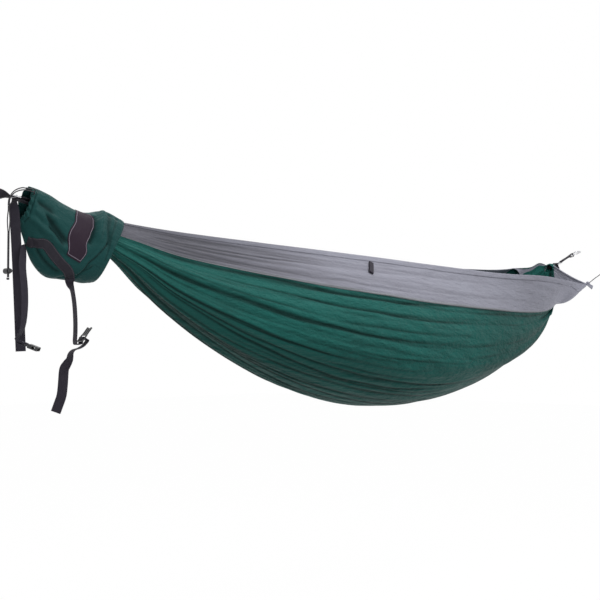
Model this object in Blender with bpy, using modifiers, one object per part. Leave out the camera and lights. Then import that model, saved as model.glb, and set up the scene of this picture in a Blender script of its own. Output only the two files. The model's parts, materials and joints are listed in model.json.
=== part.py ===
"""Travel hammock, hung between two carabiners, with its stuff sack round the left end.

Units are metres, +Z is up and +X runs along the hammock. The origin is the point that the
left carabiner hangs from. Both carabiners hang at the same height.
"""

import math

import bmesh
import bpy
from mathutils import Matrix, Vector

# Hang: both anchors are level, the gathers hang below them
GATHER_SPAN = 2.307
LEFT_REACH = 0.430
RIGHT_REACH = 0.235
ANCHOR_RISE = 0.078

# Cloth: two side panels sewn to a wide centre panel
CLOTH_THICK = 0.0012
CLOTH_DEPTH = 0.520
SIDE_SHARE = 0.13
SEAM_GAP = 0.0008
BUNDLE_RADIUS = 0.0165
BUNDLE_DROP = 0.003
BUNDLE_SPLIT = 0.25
BUNDLE_FADE = 0.14
CORNER_OUT = 0.170
CORNER_DROP = 0.080
NEAR_SWELL = 0.235
FAR_SWELL = 0.250
PLEATS = 7
PLEAT_DEPTH = 0.006
PLEAT_PEAK = 0.10
CLOTH_STATIONS = 21
CLOTH_FIRST = 0.006
CLOTH_LAST = 0.9955
HEM_GAP = 0.0004
CLEAR = 0.0003

# Webbing
WEB_WIDTH = 0.025
WEB_THICK = 0.002
LEFT_LOOP = 0.219
RIGHT_LOOP = 0.048
LEFT_TAIL = 0.365
RIGHT_TAIL = 0.075
TAIL_GAP = 0.0006

# Three-bar buckle
BAR = 0.003
BAR_PITCH = 0.0105
BUCKLE_SLOT = 0.0265
BUCKLE_RAIL = 0.0045

# Sewn eye and carabiner
EYE_WIDTH = 0.006
EYE_INNER = 0.0065
EYE_SEAT = 0.0010
EYE_NECK = 0.034
EYE_LAP = 0.060
WIRE_RADIUS = 0.003
RING_HALF_LENGTH = 0.027
RING_HALF_WIDTH = 0.013
GATE_HALF = 0.012
GATE_RADIUS = 0.0026
PIVOT_SETBACK = 0.001
FORK_SLOT = 0.0034
FORK_REACH = 0.005
TONGUE_THICK = 0.0026
PIN_RADIUS = 0.0010

# Gathered hem that the end loop runs through
HEM_BARREL_RADIUS = 0.0065
HEM_BARREL_AHEAD = 0.008
HEM_CHEEK = 0.0028

# Side-release buckle and sack strap
CLIP_WIDTH = 0.032
CLIP_THICK = 0.0105
CLIP_SOCKET = 0.026
CLIP_TONGUE = 0.022
CLIP_END_WALL = 0.003
CLIP_WALL = 0.0018

# Drawcord and its lock
DRAWCORD_RADIUS = 0.0011
DRAWCORD_PITCH = 0.0030
LOCK_RADIUS = 0.007
LOCK_WALL = 0.0016
LOCK_LENGTH = 0.016
PLUNGER_OUT = 0.006
PLUNGER_TRAVEL = 0.004

# Sack
SACK_THICK = 0.0015
SACK_SIDES = 24
LABEL_THICK = 0.001
SEAT_LIFT = 0.0007

# Edge tabs and corner cord
TAB_WIDTH = 0.0155
TAB_LENGTH = 0.064
TAB_OPEN = 0.0075
TAB_THICK = 0.0015
TAB_STATION = 0.455
TAB_DROP = 0.027
TAB_LEAN = 1.22
CORNER_KNOT = 0.009
CORNER_CORD_RADIUS = 0.0016

LEFT_GATHER = Vector((LEFT_REACH, 0.0, -ANCHOR_RISE))
RIGHT_GATHER = LEFT_GATHER + Vector((GATHER_SPAN, 0.0, 0.0))
LEFT_ANCHOR = Vector((0.0, 0.0, 0.0))
RIGHT_ANCHOR = Vector((LEFT_REACH + GATHER_SPAN + RIGHT_REACH, 0.0, 0.0))
UP = Vector((0.0, 0.0, 1.0))
VIEW_RIGHT = Vector((0.681, -0.732, 0.0)).normalized()


# Scene and materials

def clear_scene():
    for obj in list(bpy.data.objects):
        bpy.data.objects.remove(obj, do_unlink=True)


def make_material(name, colour, roughness, metallic=0.0):
    material = bpy.data.materials.new(name)
    material.use_nodes = True
    shader = material.node_tree.nodes["Principled BSDF"]
    shader.inputs["Base Color"].default_value = (*colour, 1.0)
    shader.inputs["Roughness"].default_value = roughness
    shader.inputs["Metallic"].default_value = metallic
    return material


clear_scene()
PARTS = bpy.data.collections.new("travel_hammock")
CUTTERS = bpy.data.collections.new("cutters")
bpy.context.scene.collection.children.link(PARTS)
bpy.context.scene.collection.children.link(CUTTERS)

GREEN = make_material("green_nylon", (0.019, 0.125, 0.097), 0.55)
GREY = make_material("grey_nylon", (0.30, 0.29, 0.34), 0.50)
SACK_GREEN = make_material("sack_nylon", (0.016, 0.082, 0.076), 0.60)
BLACK_WEB = make_material("black_webbing", (0.026, 0.023, 0.032), 0.75)
BLACK_CORD = make_material("black_cord", (0.022, 0.020, 0.026), 0.70)
LABEL = make_material("label_patch", (0.038, 0.026, 0.034), 0.65)
BLACK_PLASTIC = make_material("black_plastic", (0.018, 0.017, 0.020), 0.40)
STEEL = make_material("steel", (0.55, 0.55, 0.57), 0.30, 1.0)


# Mesh tools

def add_object(name, mesh, material, collection=PARTS):
    obj = bpy.data.objects.new(name, mesh)
    obj.data.materials.append(material)
    collection.objects.link(obj)
    return obj


def finish_mesh(name, bm, material, collection=PARTS, sharp_angle=35.0):
    mesh = bpy.data.meshes.new(name)
    bmesh.ops.recalc_face_normals(bm, faces=bm.faces)
    bm.to_mesh(mesh)
    bm.free()
    mesh.shade_smooth()
    mesh.set_sharp_from_angle(angle=math.radians(sharp_angle))
    return add_object(name, mesh, material, collection)


def loft(name, rows, thickness, material, close_rows=False, close_across=False, offset=0.0):
    """Skin a surface over rows of points and give it a thickness."""
    bm = bmesh.new()
    grid = [[bm.verts.new(point) for point in row] for row in rows]
    row_count = len(grid)
    across = len(grid[0])
    for i in range(row_count if close_rows else row_count - 1):
        for j in range(across if close_across else across - 1):
            a = grid[i]
            b = grid[(i + 1) % row_count]
            bm.faces.new((a[j], a[(j + 1) % across], b[(j + 1) % across], b[j]))
    obj = finish_mesh(name, bm, material)
    solidify = obj.modifiers.new("thickness", 'SOLIDIFY')
    solidify.thickness = thickness
    solidify.offset = offset
    return obj


def smooth_path(points, per_span):
    """Points along a smooth curve through the given ones."""
    points = [Vector(p) for p in points]
    ends = [points[0] * 2 - points[1]] + points + [points[-1] * 2 - points[-2]]
    path = []
    for i in range(1, len(ends) - 2):
        before, start, end, after = ends[i - 1:i + 3]
        for k in range(per_span):
            u = k / per_span
            leave = (end - before) / 2
            arrive = (after - start) / 2
            path.append(start * (2 * u**3 - 3 * u**2 + 1) + leave * (u**3 - 2 * u**2 + u)
                        + end * (3 * u**2 - 2 * u**3) + arrive * (u**3 - u**2))
    path.append(points[-1])
    return path


def ribbon(name, path, across, width, material, thickness=WEB_THICK, closed=False):
    """A flat band along a path. across and width may vary along it, as functions of 0 to 1."""
    rows = []
    count = len(path)
    for i, point in enumerate(path):
        share = i / (count - 1)
        ahead = path[(i + 1) % count] if closed else path[min(i + 1, count - 1)]
        behind = path[i - 1] if closed else path[max(i - 1, 0)]
        tangent = (ahead - behind).normalized()
        side = across(share) if callable(across) else across
        side = (side - tangent * side.dot(tangent)).normalized()
        half = (width(share) if callable(width) else width) / 2
        rows.append([point - side * half, point + side * half])
    return loft(name, rows, thickness, material, close_rows=closed)


def tube(name, path, radius, material, resolution=2):
    curve = bpy.data.curves.new(name, 'CURVE')
    curve.dimensions = '3D'
    curve.bevel_depth = radius
    curve.bevel_resolution = resolution
    curve.use_fill_caps = True
    spline = curve.splines.new('POLY')
    spline.points.add(len(path) - 1)
    for slot, point in zip(spline.points, path):
        slot.co = (*point, 1.0)
    return add_object(name, curve, material)


def meshed(obj):
    """The curve object as a mesh object with its caps welded."""
    graph = bpy.context.evaluated_depsgraph_get()
    mesh = bpy.data.meshes.new_from_object(obj.evaluated_get(graph))
    bm = bmesh.new()
    bm.from_mesh(mesh)
    bmesh.ops.remove_doubles(bm, verts=bm.verts, dist=0.00001)
    bmesh.ops.recalc_face_normals(bm, faces=bm.faces)
    bm.to_mesh(mesh)
    bm.free()
    name = obj.name
    material = obj.data.materials[0]
    place = obj.matrix_world.copy()
    obj.name = name + "_curve"
    bpy.data.objects.remove(obj, do_unlink=True)
    mesh.materials.clear()
    result = add_object(name, mesh, material)
    result.matrix_world = place
    return result


def box(name, centre, size, place, material, collection=PARTS, bevel=0.0):
    bm = bmesh.new()
    bmesh.ops.create_cube(bm, size=1.0)
    bmesh.ops.scale(bm, vec=size, verts=bm.verts)
    bmesh.ops.translate(bm, vec=centre, verts=bm.verts)
    obj = finish_mesh(name, bm, material, collection)
    obj.matrix_world = place
    if bevel > 0.0:
        rounding = obj.modifiers.new("rounding", 'BEVEL')
        rounding.width = bevel
        rounding.segments = 2
    return obj


def cylinder(name, centre, radius, length, axis, place, material, collection=PARTS, sides=24):
    bm = bmesh.new()
    bmesh.ops.create_cone(bm, cap_ends=True, segments=sides, radius1=radius, radius2=radius,
                          depth=length)
    turn = Vector((0.0, 0.0, 1.0)).rotation_difference(Vector(axis)).to_matrix().to_4x4()
    bmesh.ops.transform(bm, matrix=Matrix.Translation(centre) @ turn, verts=bm.verts)
    obj = finish_mesh(name, bm, material, collection)
    obj.matrix_world = place
    return obj


def combine(obj, other, operation):
    """Cut or join another object into this one. The other is kept as a hidden helper."""
    change = obj.modifiers.new(other.name, 'BOOLEAN')
    change.operation = operation
    change.object = other
    other.hide_render = True
    other.display_type = 'WIRE'


# Shape of the hanging cloth

def swell(s, rise, fall):
    """A hump along the length, 0 at both ends and 1 at its highest."""
    peak = rise / (rise + fall)
    return (s / peak) ** rise * ((1.0 - s) / (1.0 - peak)) ** fall


def key_lines(s):
    """Share across the cloth, sideways place and height of its main lines at one station."""
    depth = CLOTH_DEPTH
    return (
        (0.0, -CORNER_OUT * s, -CORNER_DROP * s),
        (SIDE_SHARE, -0.85 * NEAR_SWELL * swell(s, 0.90, 0.70),
         -0.379 * depth * swell(s, 0.57, 0.17)),
        (0.30, -NEAR_SWELL * swell(s, 0.85, 0.80), -0.75 * depth * swell(s, 0.72, 0.55)),
        (0.50, 0.0, -depth * swell(s, 0.88, 0.78)),
        (0.70, FAR_SWELL * swell(s, 1.00, 0.90), -0.72 * depth * swell(s, 0.82, 0.60)),
        (1.0 - SIDE_SHARE, FAR_SWELL * swell(s, 1.00, 0.90), -0.298 * depth * swell(s, 0.80, 0.90)),
        (1.0, 0.76 * FAR_SWELL * swell(s, 0.90, 0.90), -0.067 * depth * swell(s, 0.80, 0.80)),
    )


def line_slope(lines, i, axis):
    """Slope of the section at one main line, weighted by the spans beside it."""
    last = len(lines) - 1
    low = max(i - 1, 0)
    high = min(i + 1, last)
    if low == i or high == i:
        return (lines[high][axis] - lines[low][axis]) / (lines[high][0] - lines[low][0])
    before = (lines[i][axis] - lines[low][axis]) / (lines[i][0] - lines[low][0])
    after = (lines[high][axis] - lines[i][axis]) / (lines[high][0] - lines[i][0])
    weight = (lines[high][0] - lines[i][0]) / (lines[high][0] - lines[low][0])
    return before * weight + after * (1.0 - weight)


def section(s, t):
    """Sideways place and height at a share t across the cloth, near rim to far rim."""
    lines = key_lines(s)
    i = 0
    while i < len(lines) - 2 and t > lines[i + 1][0]:
        i += 1
    span = lines[i + 1][0] - lines[i][0]
    u = (t - lines[i][0]) / span
    place = []
    for axis in (1, 2):
        start = lines[i][axis]
        end = lines[i + 1][axis]
        leave = line_slope(lines, i, axis) * span
        arrive = line_slope(lines, i + 1, axis) * span
        place.append((2 * u**3 - 3 * u**2 + 1) * start + (u**3 - 2 * u**2 + u) * leave
                     + (3 * u**2 - 2 * u**3) * end + (u**3 - u**2) * arrive)
    return place


def bundle_weight(s):
    """How far the gathered bundle at each end shapes the cloth."""
    left = max(0.0, 1.0 - s / BUNDLE_FADE) ** 2
    right = max(0.0, 1.0 - (1.0 - s) / BUNDLE_FADE) ** 2
    return left, right


def smooth_cloth(s, t):
    """A point of the cloth without its pleats."""
    y, z = section(s, t)
    left, right = bundle_weight(s)
    near_share = min(1.0, t / SIDE_SHARE)
    weight = left + right * near_share
    angle = (t - 0.5) * 2.0 * (math.pi - BUNDLE_SPLIT)
    y += BUNDLE_RADIUS * math.sin(angle) * weight
    z -= (BUNDLE_RADIUS * math.cos(angle) + BUNDLE_DROP) * weight
    return LEFT_GATHER + Vector((GATHER_SPAN * s, y, z))


def pleat_size(s):
    """Depth of the pleats that run out of each gather."""
    total = 0.0
    for distance in (s, 1.0 - s):
        share = distance / PLEAT_PEAK
        total += share * math.exp(1.0 - share)
    return PLEAT_DEPTH * total


def cloth_point(s, t):
    """A point of the pleated cloth."""
    step = 0.002
    low = smooth_cloth(s, max(0.0, t - step))
    high = smooth_cloth(s, min(1.0, t + step))
    along = high - low
    normal = Vector((0.0, -along.z, along.y)).normalized()
    share = (t - SIDE_SHARE) / (1.0 - 2.0 * SIDE_SHARE)
    inside = min(1.0, max(0.0, min(share, 1.0 - share)) * 2 * PLEATS)
    wave = math.sin(2.0 * math.pi * PLEATS * share)
    return smooth_cloth(s, t) + normal * pleat_size(s) * wave * inside


def seam_shift(s, t):
    """Half the seam gap as a share across the cloth at this station."""
    step = 0.01
    width = (smooth_cloth(s, t + step) - smooth_cloth(s, t - step)).length / (2.0 * step)
    return 0.5 * SEAM_GAP / width


def stations(count):
    """Stations along the cloth, closer together at the gathers."""
    shares = [i / (count - 1) for i in range(count)]
    eased = [0.5 * x + 0.5 * (0.5 - 0.5 * math.cos(math.pi * x)) for x in shares]
    return [CLOTH_FIRST + (CLOTH_LAST - CLOTH_FIRST) * x for x in eased]


def make_cloth():
    far_share = 1.0 - SIDE_SHARE
    panels = (
        ("near_side_panel", GREY, 8, 0.0, SIDE_SHARE),
        ("centre_panel", GREEN, 28, SIDE_SHARE, far_share),
        ("far_side_panel", GREY, 8, far_share, 1.0),
    )
    for name, material, across, low, high in panels:
        rows = []
        for s in stations(CLOTH_STATIONS):
            start = low + (seam_shift(s, low) if low > 0.0 else 0.0)
            end = high - (seam_shift(s, high) if high < 1.0 else 0.0)
            rows.append([cloth_point(s, start + (end - start) * j / across)
                         for j in range(across + 1)])
        loft(name, rows, CLOTH_THICK, material)


# Ends: hem, loop, buckle, strap, carabiner

def end_place(gather, anchor):
    """Frame at a gather: X to the anchor, Y level, Z upward."""
    ahead = (anchor - gather).normalized()
    side = UP.cross(ahead).normalized()
    rise = ahead.cross(side)
    place = Matrix((ahead, side, rise)).transposed().to_4x4()
    return Matrix.Translation(gather) @ place


def arc(centre_a, centre_c, radius, start, end, steps):
    """Points of an arc in a frame's X-Z plane, with angles in degrees from +X."""
    points = []
    for i in range(steps + 1):
        angle = math.radians(start + (end - start) * i / steps)
        points.append(Vector((centre_a + radius * math.cos(angle), 0.0,
                              centre_c + radius * math.sin(angle))))
    return points


def wrap_radius(core):
    """Middle of a band that wraps a core with running clearance."""
    return core + CLEAR + WEB_THICK / 2


BAR_WRAP = wrap_radius(BAR / math.sqrt(2.0))
HEM_WRAP = wrap_radius(HEM_BARREL_RADIUS)


def make_hem(side, place, cloth_from):
    """The rolled end hem, bunched on the end loop, with the slot that the loop runs through."""
    name = side + "_gather_hem"
    slot_far = HEM_BARREL_AHEAD - HEM_WRAP - WEB_THICK / 2 - CLEAR
    radius = BUNDLE_RADIUS - CLOTH_THICK / 2 - CLEAR
    origin = place.to_translation()
    bm = bmesh.new()
    rings = ([], [])
    for i in range(28):
        angle = 2.0 * math.pi * i / 28
        across = radius * math.sin(angle)
        rise = radius * math.cos(angle) - BUNDLE_DROP
        rings[0].append(bm.verts.new(place @ Vector((slot_far, across, rise))))
        rings[1].append(bm.verts.new(origin + Vector((cloth_from, across, rise))))
    for i in range(28):
        j = (i + 1) % 28
        bm.faces.new((rings[0][i], rings[0][j], rings[1][j], rings[1][i]))
    bm.faces.new(rings[0])
    bm.faces.new(rings[1])
    hem = finish_mesh(name, bm, GREEN)
    width = 2.0 * radius
    barrel = cylinder(name + "_barrel", (HEM_BARREL_AHEAD, 0.0, 0.0), HEM_BARREL_RADIUS,
                      width, (0.0, 1.0, 0.0), place, GREEN, CUTTERS)
    combine(hem, barrel, 'UNION')
    cheek_length = HEM_BARREL_AHEAD - slot_far + HEM_CHEEK
    for turn in (-1.0, 1.0):
        centre = (HEM_BARREL_AHEAD - cheek_length / 2, turn * (radius - HEM_CHEEK / 2), 0.0)
        size = (cheek_length, HEM_CHEEK, 1.4 * HEM_BARREL_RADIUS)
        cheek = box(name + ("_cheek_a" if turn < 0 else "_cheek_b"), centre, size, place,
                    GREEN, CUTTERS)
        combine(hem, cheek, 'UNION')


def make_end_loop(side, place, reach):
    """The closed webbing loop from the buckle's first bar to the gathered hem."""
    bar_at = reach - BAR_PITCH
    path = arc(bar_at, 0.0, BAR_WRAP, -90.0, 90.0, 10)
    back = arc(HEM_BARREL_AHEAD, 0.0, HEM_WRAP, 90.0, 270.0, 12)
    legs = 5 if reach > 0.1 else 2
    top = [path[-1].lerp(back[0], i / (legs + 1)) for i in range(1, legs + 1)]
    bottom = [back[-1].lerp(path[0], i / (legs + 1)) for i in range(1, legs + 1)]
    points = [place @ p for p in path + top + back + bottom]
    level = place.to_3x3() @ Vector((0.0, 1.0, 0.0))
    ribbon(side + "_end_loop", points, level, WEB_WIDTH, BLACK_WEB, closed=True)


def plate_with_slots(name, outer, slots, thickness, place, material, bevel):
    """A flat plate with a rounded outline and square slots."""
    curve = bpy.data.curves.new(name, 'CURVE')
    curve.dimensions = '2D'
    curve.fill_mode = 'BOTH'
    curve.extrude = thickness / 2
    half_length, half_width, corner = outer
    outline = []
    for sx, sy, first in ((1, 1, 0.0), (-1, 1, 90.0), (-1, -1, 180.0), (1, -1, 270.0)):
        for k in range(4):
            angle = math.radians(first + 30.0 * k)
            outline.append((sx * (half_length - corner) + corner * math.cos(angle),
                            sy * (half_width - corner) + corner * math.sin(angle)))
    holes = [[(a0, -w), (a0, w), (a1, w), (a1, -w)] for a0, a1, w in slots]
    for points in [outline] + holes:
        spline = curve.splines.new('POLY')
        spline.points.add(len(points) - 1)
        for slot, point in zip(spline.points, points):
            slot.co = (*point, 0.0, 1.0)
        spline.use_cyclic_u = True
    plate = add_object(name, curve, material)
    plate = meshed(plate)
    plate.matrix_world = place
    if bevel > 0.0:
        rounding = plate.modifiers.new("rounding", 'BEVEL')
        rounding.width = bevel
        rounding.segments = 1
        rounding.angle_limit = math.radians(50.0)
    return plate


def make_cinch_buckle(side, place, reach):
    half = BAR / 2
    slots = ((-BAR_PITCH + half, -half, BUCKLE_SLOT / 2),
             (half, BAR_PITCH - half, BUCKLE_SLOT / 2))
    outer = (BAR_PITCH + half, BUCKLE_SLOT / 2 + BUCKLE_RAIL, 0.0035)
    spot = place @ Matrix.Translation((reach, 0.0, 0.0))
    plate_with_slots(side + "_cinch_buckle", outer, slots, BAR, spot, STEEL, 0.0006)


def eye_centre(length):
    """Distance from the gather to the wire that the strap's eye holds."""
    return length - 2.0 * RING_HALF_LENGTH


def make_strap(side, place, reach, length, roll):
    """Suspension strap: out of the buckle, twisting on its way, to a sewn eye and its lap."""
    tangent = math.degrees(math.asin(2.0 * BAR_WRAP / BAR_PITCH))
    points = [Vector((reach - BAR_WRAP, 0.0, -0.0075)), Vector((reach - BAR_WRAP, 0.0, -0.0035))]
    points += arc(reach, 0.0, BAR_WRAP, 180.0, 90.0 - tangent, 8)
    points += arc(reach + BAR_PITCH, 0.0, BAR_WRAP, 270.0 - tangent, 270.0, 5)
    buckle_count = len(points)
    wire_at = eye_centre(length)
    eye_radius = EYE_INNER + WEB_THICK / 2
    eye_at = wire_at + WIRE_RADIUS + EYE_SEAT - EYE_INNER
    neck_at = eye_at - EYE_NECK
    turn = Matrix.Rotation(roll, 3, 'X')
    start = points[-1]
    run = 10
    for i in range(1, run):
        share = i / run
        eased = share * share * (3.0 - 2.0 * share)
        points.append(Vector((start.x + (neck_at - start.x) * share, 0.0,
                              start.z * (1.0 - eased))))
    lap_rise = WEB_THICK + CLEAR
    eye = [Vector((neck_at, 0.0, 0.0)), Vector((neck_at + 0.3 * EYE_NECK, 0.0, -0.0012)),
           Vector((neck_at + 0.65 * EYE_NECK, 0.0, -0.8 * eye_radius))]
    eye += arc(eye_at, 0.0, eye_radius, -90.0, 90.0, 10)
    eye += [Vector((neck_at + 0.65 * EYE_NECK, 0.0, 0.8 * eye_radius)),
            Vector((neck_at + 0.3 * EYE_NECK, 0.0, 0.0012 + lap_rise))]
    lap = min(EYE_LAP, 0.6 * (neck_at - start.x))
    lap_steps = 4
    for i in range(lap_steps + 1):
        at = neck_at - lap * i / lap_steps
        share = (at - start.x) / (neck_at - start.x)
        eased = share * share * (3.0 - 2.0 * share)
        eye.append(Vector((at, 0.0, start.z * (1.0 - eased) + lap_rise)))
    points += [turn @ p for p in eye]
    total = len(points) - 1
    twist_from = buckle_count - 1
    twist_to = buckle_count + run - 2

    def rolled(at):
        share = min(1.0, max(0.0, (at - start.x) / (neck_at - start.x)))
        return roll * min(1.0, share * 1.6)

    sides = []
    for i, p in enumerate(points):
        sides.append(Matrix.Rotation(rolled(p.x) if i >= twist_from else 0.0, 3, 'X')
                     @ Vector((0.0, 1.0, 0.0)))
    # the lap lies on the strap, so its offset turns with the strap
    lap_from = total - lap_steps
    for i in range(lap_from, total + 1):
        local = turn.inverted() @ points[i]
        lifted = Matrix.Rotation(rolled(local.x), 3, 'X') @ Vector((0.0, 0.0, lap_rise))
        points[i] = Vector((local.x, 0.0, 0.0)) + Vector((0.0, 0.0, local.z - lap_rise)) + lifted

    def width(share):
        index = share * total
        near_eye = twist_to + 1 <= index <= lap_from
        if not near_eye:
            return WEB_WIDTH
        middle = (twist_to + 1 + lap_from) / 2
        away = abs(index - middle) / (lap_from - middle)
        ease = min(1.0, max(0.0, (away - 0.62) / 0.38))
        return EYE_WIDTH + (WEB_WIDTH - EYE_WIDTH) * ease

    rotate = place.to_3x3()
    ribbon(side + "_suspension_strap", [place @ p for p in points],
           lambda share: rotate @ sides[round(share * total)], width, BLACK_WEB)


def make_carabiner(side, place, length, roll):
    """Oval wire ring with a forked end, its gate and the gate's pin."""
    centre = place @ Matrix.Translation((length - RING_HALF_LENGTH, 0.0, 0.0))
    centre = centre @ Matrix.Rotation(roll, 4, 'X')
    bend = RING_HALF_LENGTH - RING_HALF_WIDTH
    pivot = -GATE_HALF + PIVOT_SETBACK
    nose = GATE_HALF + 0.0004
    points = [(nose, RING_HALF_WIDTH)]
    for i in range(13):
        angle = math.radians(90.0 - 15.0 * i)
        points.append((bend + RING_HALF_WIDTH * math.cos(angle), RING_HALF_WIDTH * math.sin(angle)))
    for i in range(13):
        angle = math.radians(270.0 - 15.0 * i)
        points.append((-bend + RING_HALF_WIDTH * math.cos(angle),
                       RING_HALF_WIDTH * math.sin(angle)))
    points.append((pivot + FORK_REACH, RING_HALF_WIDTH))
    wire = tube(side + "_carabiner", [Vector((p, q, 0.0)) for p, q in points], WIRE_RADIUS, STEEL, 2)
    wire = meshed(wire)
    wire.matrix_world = centre
    slot_back = pivot - FORK_REACH
    slot = box(side + "_fork_slot", ((slot_back + pivot + FORK_REACH) / 2 + 0.001, RING_HALF_WIDTH, 0.0),
               (2.0 * FORK_REACH + 0.002, 4.0 * WIRE_RADIUS, FORK_SLOT), centre, STEEL, CUTTERS)
    combine(wire, slot, 'DIFFERENCE')
    hole = cylinder(side + "_fork_hole", (pivot, RING_HALF_WIDTH, 0.0), PIN_RADIUS + CLEAR,
                    4.0 * WIRE_RADIUS, (0.0, 0.0, 1.0), centre, STEEL, CUTTERS, sides=16)
    combine(wire, hole, 'DIFFERENCE')

    rod_start = pivot + FORK_REACH + 0.002
    rod_length = GATE_HALF - rod_start
    gate = cylinder(side + "_gate", (rod_start + rod_length / 2, RING_HALF_WIDTH, 0.0), GATE_RADIUS,
                    rod_length, (1.0, 0.0, 0.0), centre, STEEL, sides=16)
    tongue_start = pivot - 0.7 * FORK_REACH
    tongue_end = rod_start + 0.002
    tongue = box(side + "_gate_tongue", ((tongue_start + tongue_end) / 2, RING_HALF_WIDTH, 0.0),
                 (tongue_end - tongue_start, 0.0042, TONGUE_THICK), centre, STEEL, CUTTERS)
    combine(gate, tongue, 'UNION')
    gate_hole = cylinder(side + "_gate_hole", (pivot, RING_HALF_WIDTH, 0.0), PIN_RADIUS + CLEAR,
                         4.0 * WIRE_RADIUS, (0.0, 0.0, 1.0), centre, STEEL, CUTTERS, sides=16)
    combine(gate, gate_hole, 'DIFFERENCE')
    cylinder(side + "_gate_pin", (pivot, RING_HALF_WIDTH, 0.0), PIN_RADIUS,
             2.0 * WIRE_RADIUS - 0.0006, (0.0, 0.0, 1.0), centre, STEEL, sides=16)


def make_tail(side, place, reach, route, twist_to, length):
    """Free end of the suspension strap, hanging from the buckle and turning to face front."""
    start = place @ Vector((reach - BAR_WRAP, 0.0, -0.0075 - TAIL_GAP))
    down = place.to_3x3() @ Vector((0.0, 0.0, -1.0))
    level = place.to_3x3() @ Vector((0.0, 1.0, 0.0))
    if level.dot(twist_to) < 0.0:
        twist_to = -twist_to
    points = [start, start + down * 0.012]
    for along, sideways, out in route:
        points.append(start + Vector((sideways, out, -along * length)))
    path = smooth_path(points, 4)

    def across(share):
        ease = min(1.0, max(0.0, (share - 0.04) / 0.30))
        ease = ease * ease * (3.0 - 2.0 * ease)
        return level.lerp(twist_to, ease)

    ribbon(side + "_strap_tail", path, across, WEB_WIDTH, BLACK_WEB)


def make_end(side, gather, anchor, reach, roll, cloth_edge):
    place = end_place(gather, anchor)
    length = (anchor - gather).length
    make_hem(side, place, cloth_edge - gather.x)
    make_end_loop(side, place, reach)
    make_cinch_buckle(side, place, reach)
    make_strap(side, place, reach, length, roll)
    make_carabiner(side, place, length, roll)
    return place


# Stuff sack

def sack_stations():
    """Top and bottom of the sack's outline and half its thickness, from the mouth rightward.

    Each place is along and above the left gather.
    """
    return (
        ((-0.175, 0.066), (-0.202, -0.014), 0.025),
        ((-0.153, 0.064), (-0.192, -0.044), 0.035),
        ((-0.119, 0.052), (-0.165, -0.108), 0.049),
        ((-0.080, 0.034), (-0.122, -0.146), 0.057),
        ((-0.035, 0.0195), (-0.080, -0.155), 0.062),
        ((0.005, 0.0190), (-0.045, -0.158), 0.064),
        ((0.048, 0.026), (-0.018, -0.162), 0.063),
        ((0.086, 0.014), (0.001, -0.160), 0.060),
        ((0.106, 0.007), (0.017, -0.157), 0.056),
    )


def sack_point(v, angle, lift=0.0):
    """A point of the sack's outside at a share v from the mouth, angle 0 at the top."""
    rows = sack_stations()
    place = v * (len(rows) - 1)
    i = min(int(place), len(rows) - 2)
    u = place - i
    before = rows[max(i - 1, 0)]
    after = rows[min(i + 2, len(rows) - 1)]
    start = rows[i]
    end = rows[i + 1]

    def blend(pick):
        a, b, c, d = pick(before), pick(start), pick(end), pick(after)
        return ((2 * u**3 - 3 * u**2 + 1) * b + (u**3 - 2 * u**2 + u) * (c - a) / 2
                + (3 * u**2 - 2 * u**3) * c + (u**3 - u**2) * (d - b) / 2)

    top = Vector((blend(lambda r: r[0][0]), 0.0, blend(lambda r: r[0][1])))
    low = Vector((blend(lambda r: r[1][0]), 0.0, blend(lambda r: r[1][1])))
    half = blend(lambda r: r[2])
    middle = (top + low) / 2
    upright = (top - low) / 2
    # the hem stands back on the near side, so that its edge looks straight from the front
    back = 0.028 * v**4 if math.sin(angle) > 0.0 else 0.0
    bow = (0.010 * v * v - back) * math.sin(angle) ** 2
    # the far half is wider towards the right, where the hammock's cloth spreads inside it
    far = v * v * max(0.0, -math.sin(angle))
    half *= 1.0 + 0.6 * far
    # the far half is flatter behind the strap that holds the sack up at its left
    flat = math.sin(math.pi * min(1.0, v / 0.55))
    half *= 1.0 - 0.45 * flat * max(0.0, -math.sin(angle))
    side = -half * (1.0 + lift / half) * math.sin(angle)
    rise = math.cos(angle) * (1.0 + lift / upright.length)
    spread = Vector((bow, side, 0.022 * far * max(0.0, math.cos(angle))))
    return LEFT_GATHER + middle + upright * rise + spread


def make_sack():
    rings = 12
    rows = []
    for i in range(rings + 1):
        v = i / rings
        rows.append([sack_point(v, 2.0 * math.pi * j / SACK_SIDES) for j in range(SACK_SIDES)])
    loft("stuff_sack", rows, SACK_THICK, SACK_GREEN, close_across=True, offset=-1.0)


def sack_patch(name, low_v, high_v, low_angle, high_angle, material, thickness, steps):
    """A piece that lies on the sack's near face between two shares and two angles."""
    lift = SEAT_LIFT + thickness / 2
    rows = []
    for i in range(steps + 1):
        u = i / steps
        row = []
        for j in range(2 * steps + 1):
            w = j / (2 * steps)
            v = (low_v[0] * (1 - w) + low_v[1] * w) * (1 - u) + (high_v[0] * (1 - w) + high_v[1] * w) * u
            angle = (low_angle[0] * (1 - w) + low_angle[1] * w) * (1 - u)
            angle += (high_angle[0] * (1 - w) + high_angle[1] * w) * u
            row.append(sack_point(v, math.radians(angle), lift))
        rows.append(row)
    return loft(name, rows, thickness, material)


def sack_steps(v, angle, lift):
    """The place on the sack and how it moves with each of its two shares."""
    step_v = 0.004
    step_angle = 1.0
    centre = sack_point(v, math.radians(angle), lift)
    along = (sack_point(v + step_v, math.radians(angle), lift) - centre) / step_v
    around = (sack_point(v, math.radians(angle + step_angle), lift) - centre) / step_angle
    return centre, along, around


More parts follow.
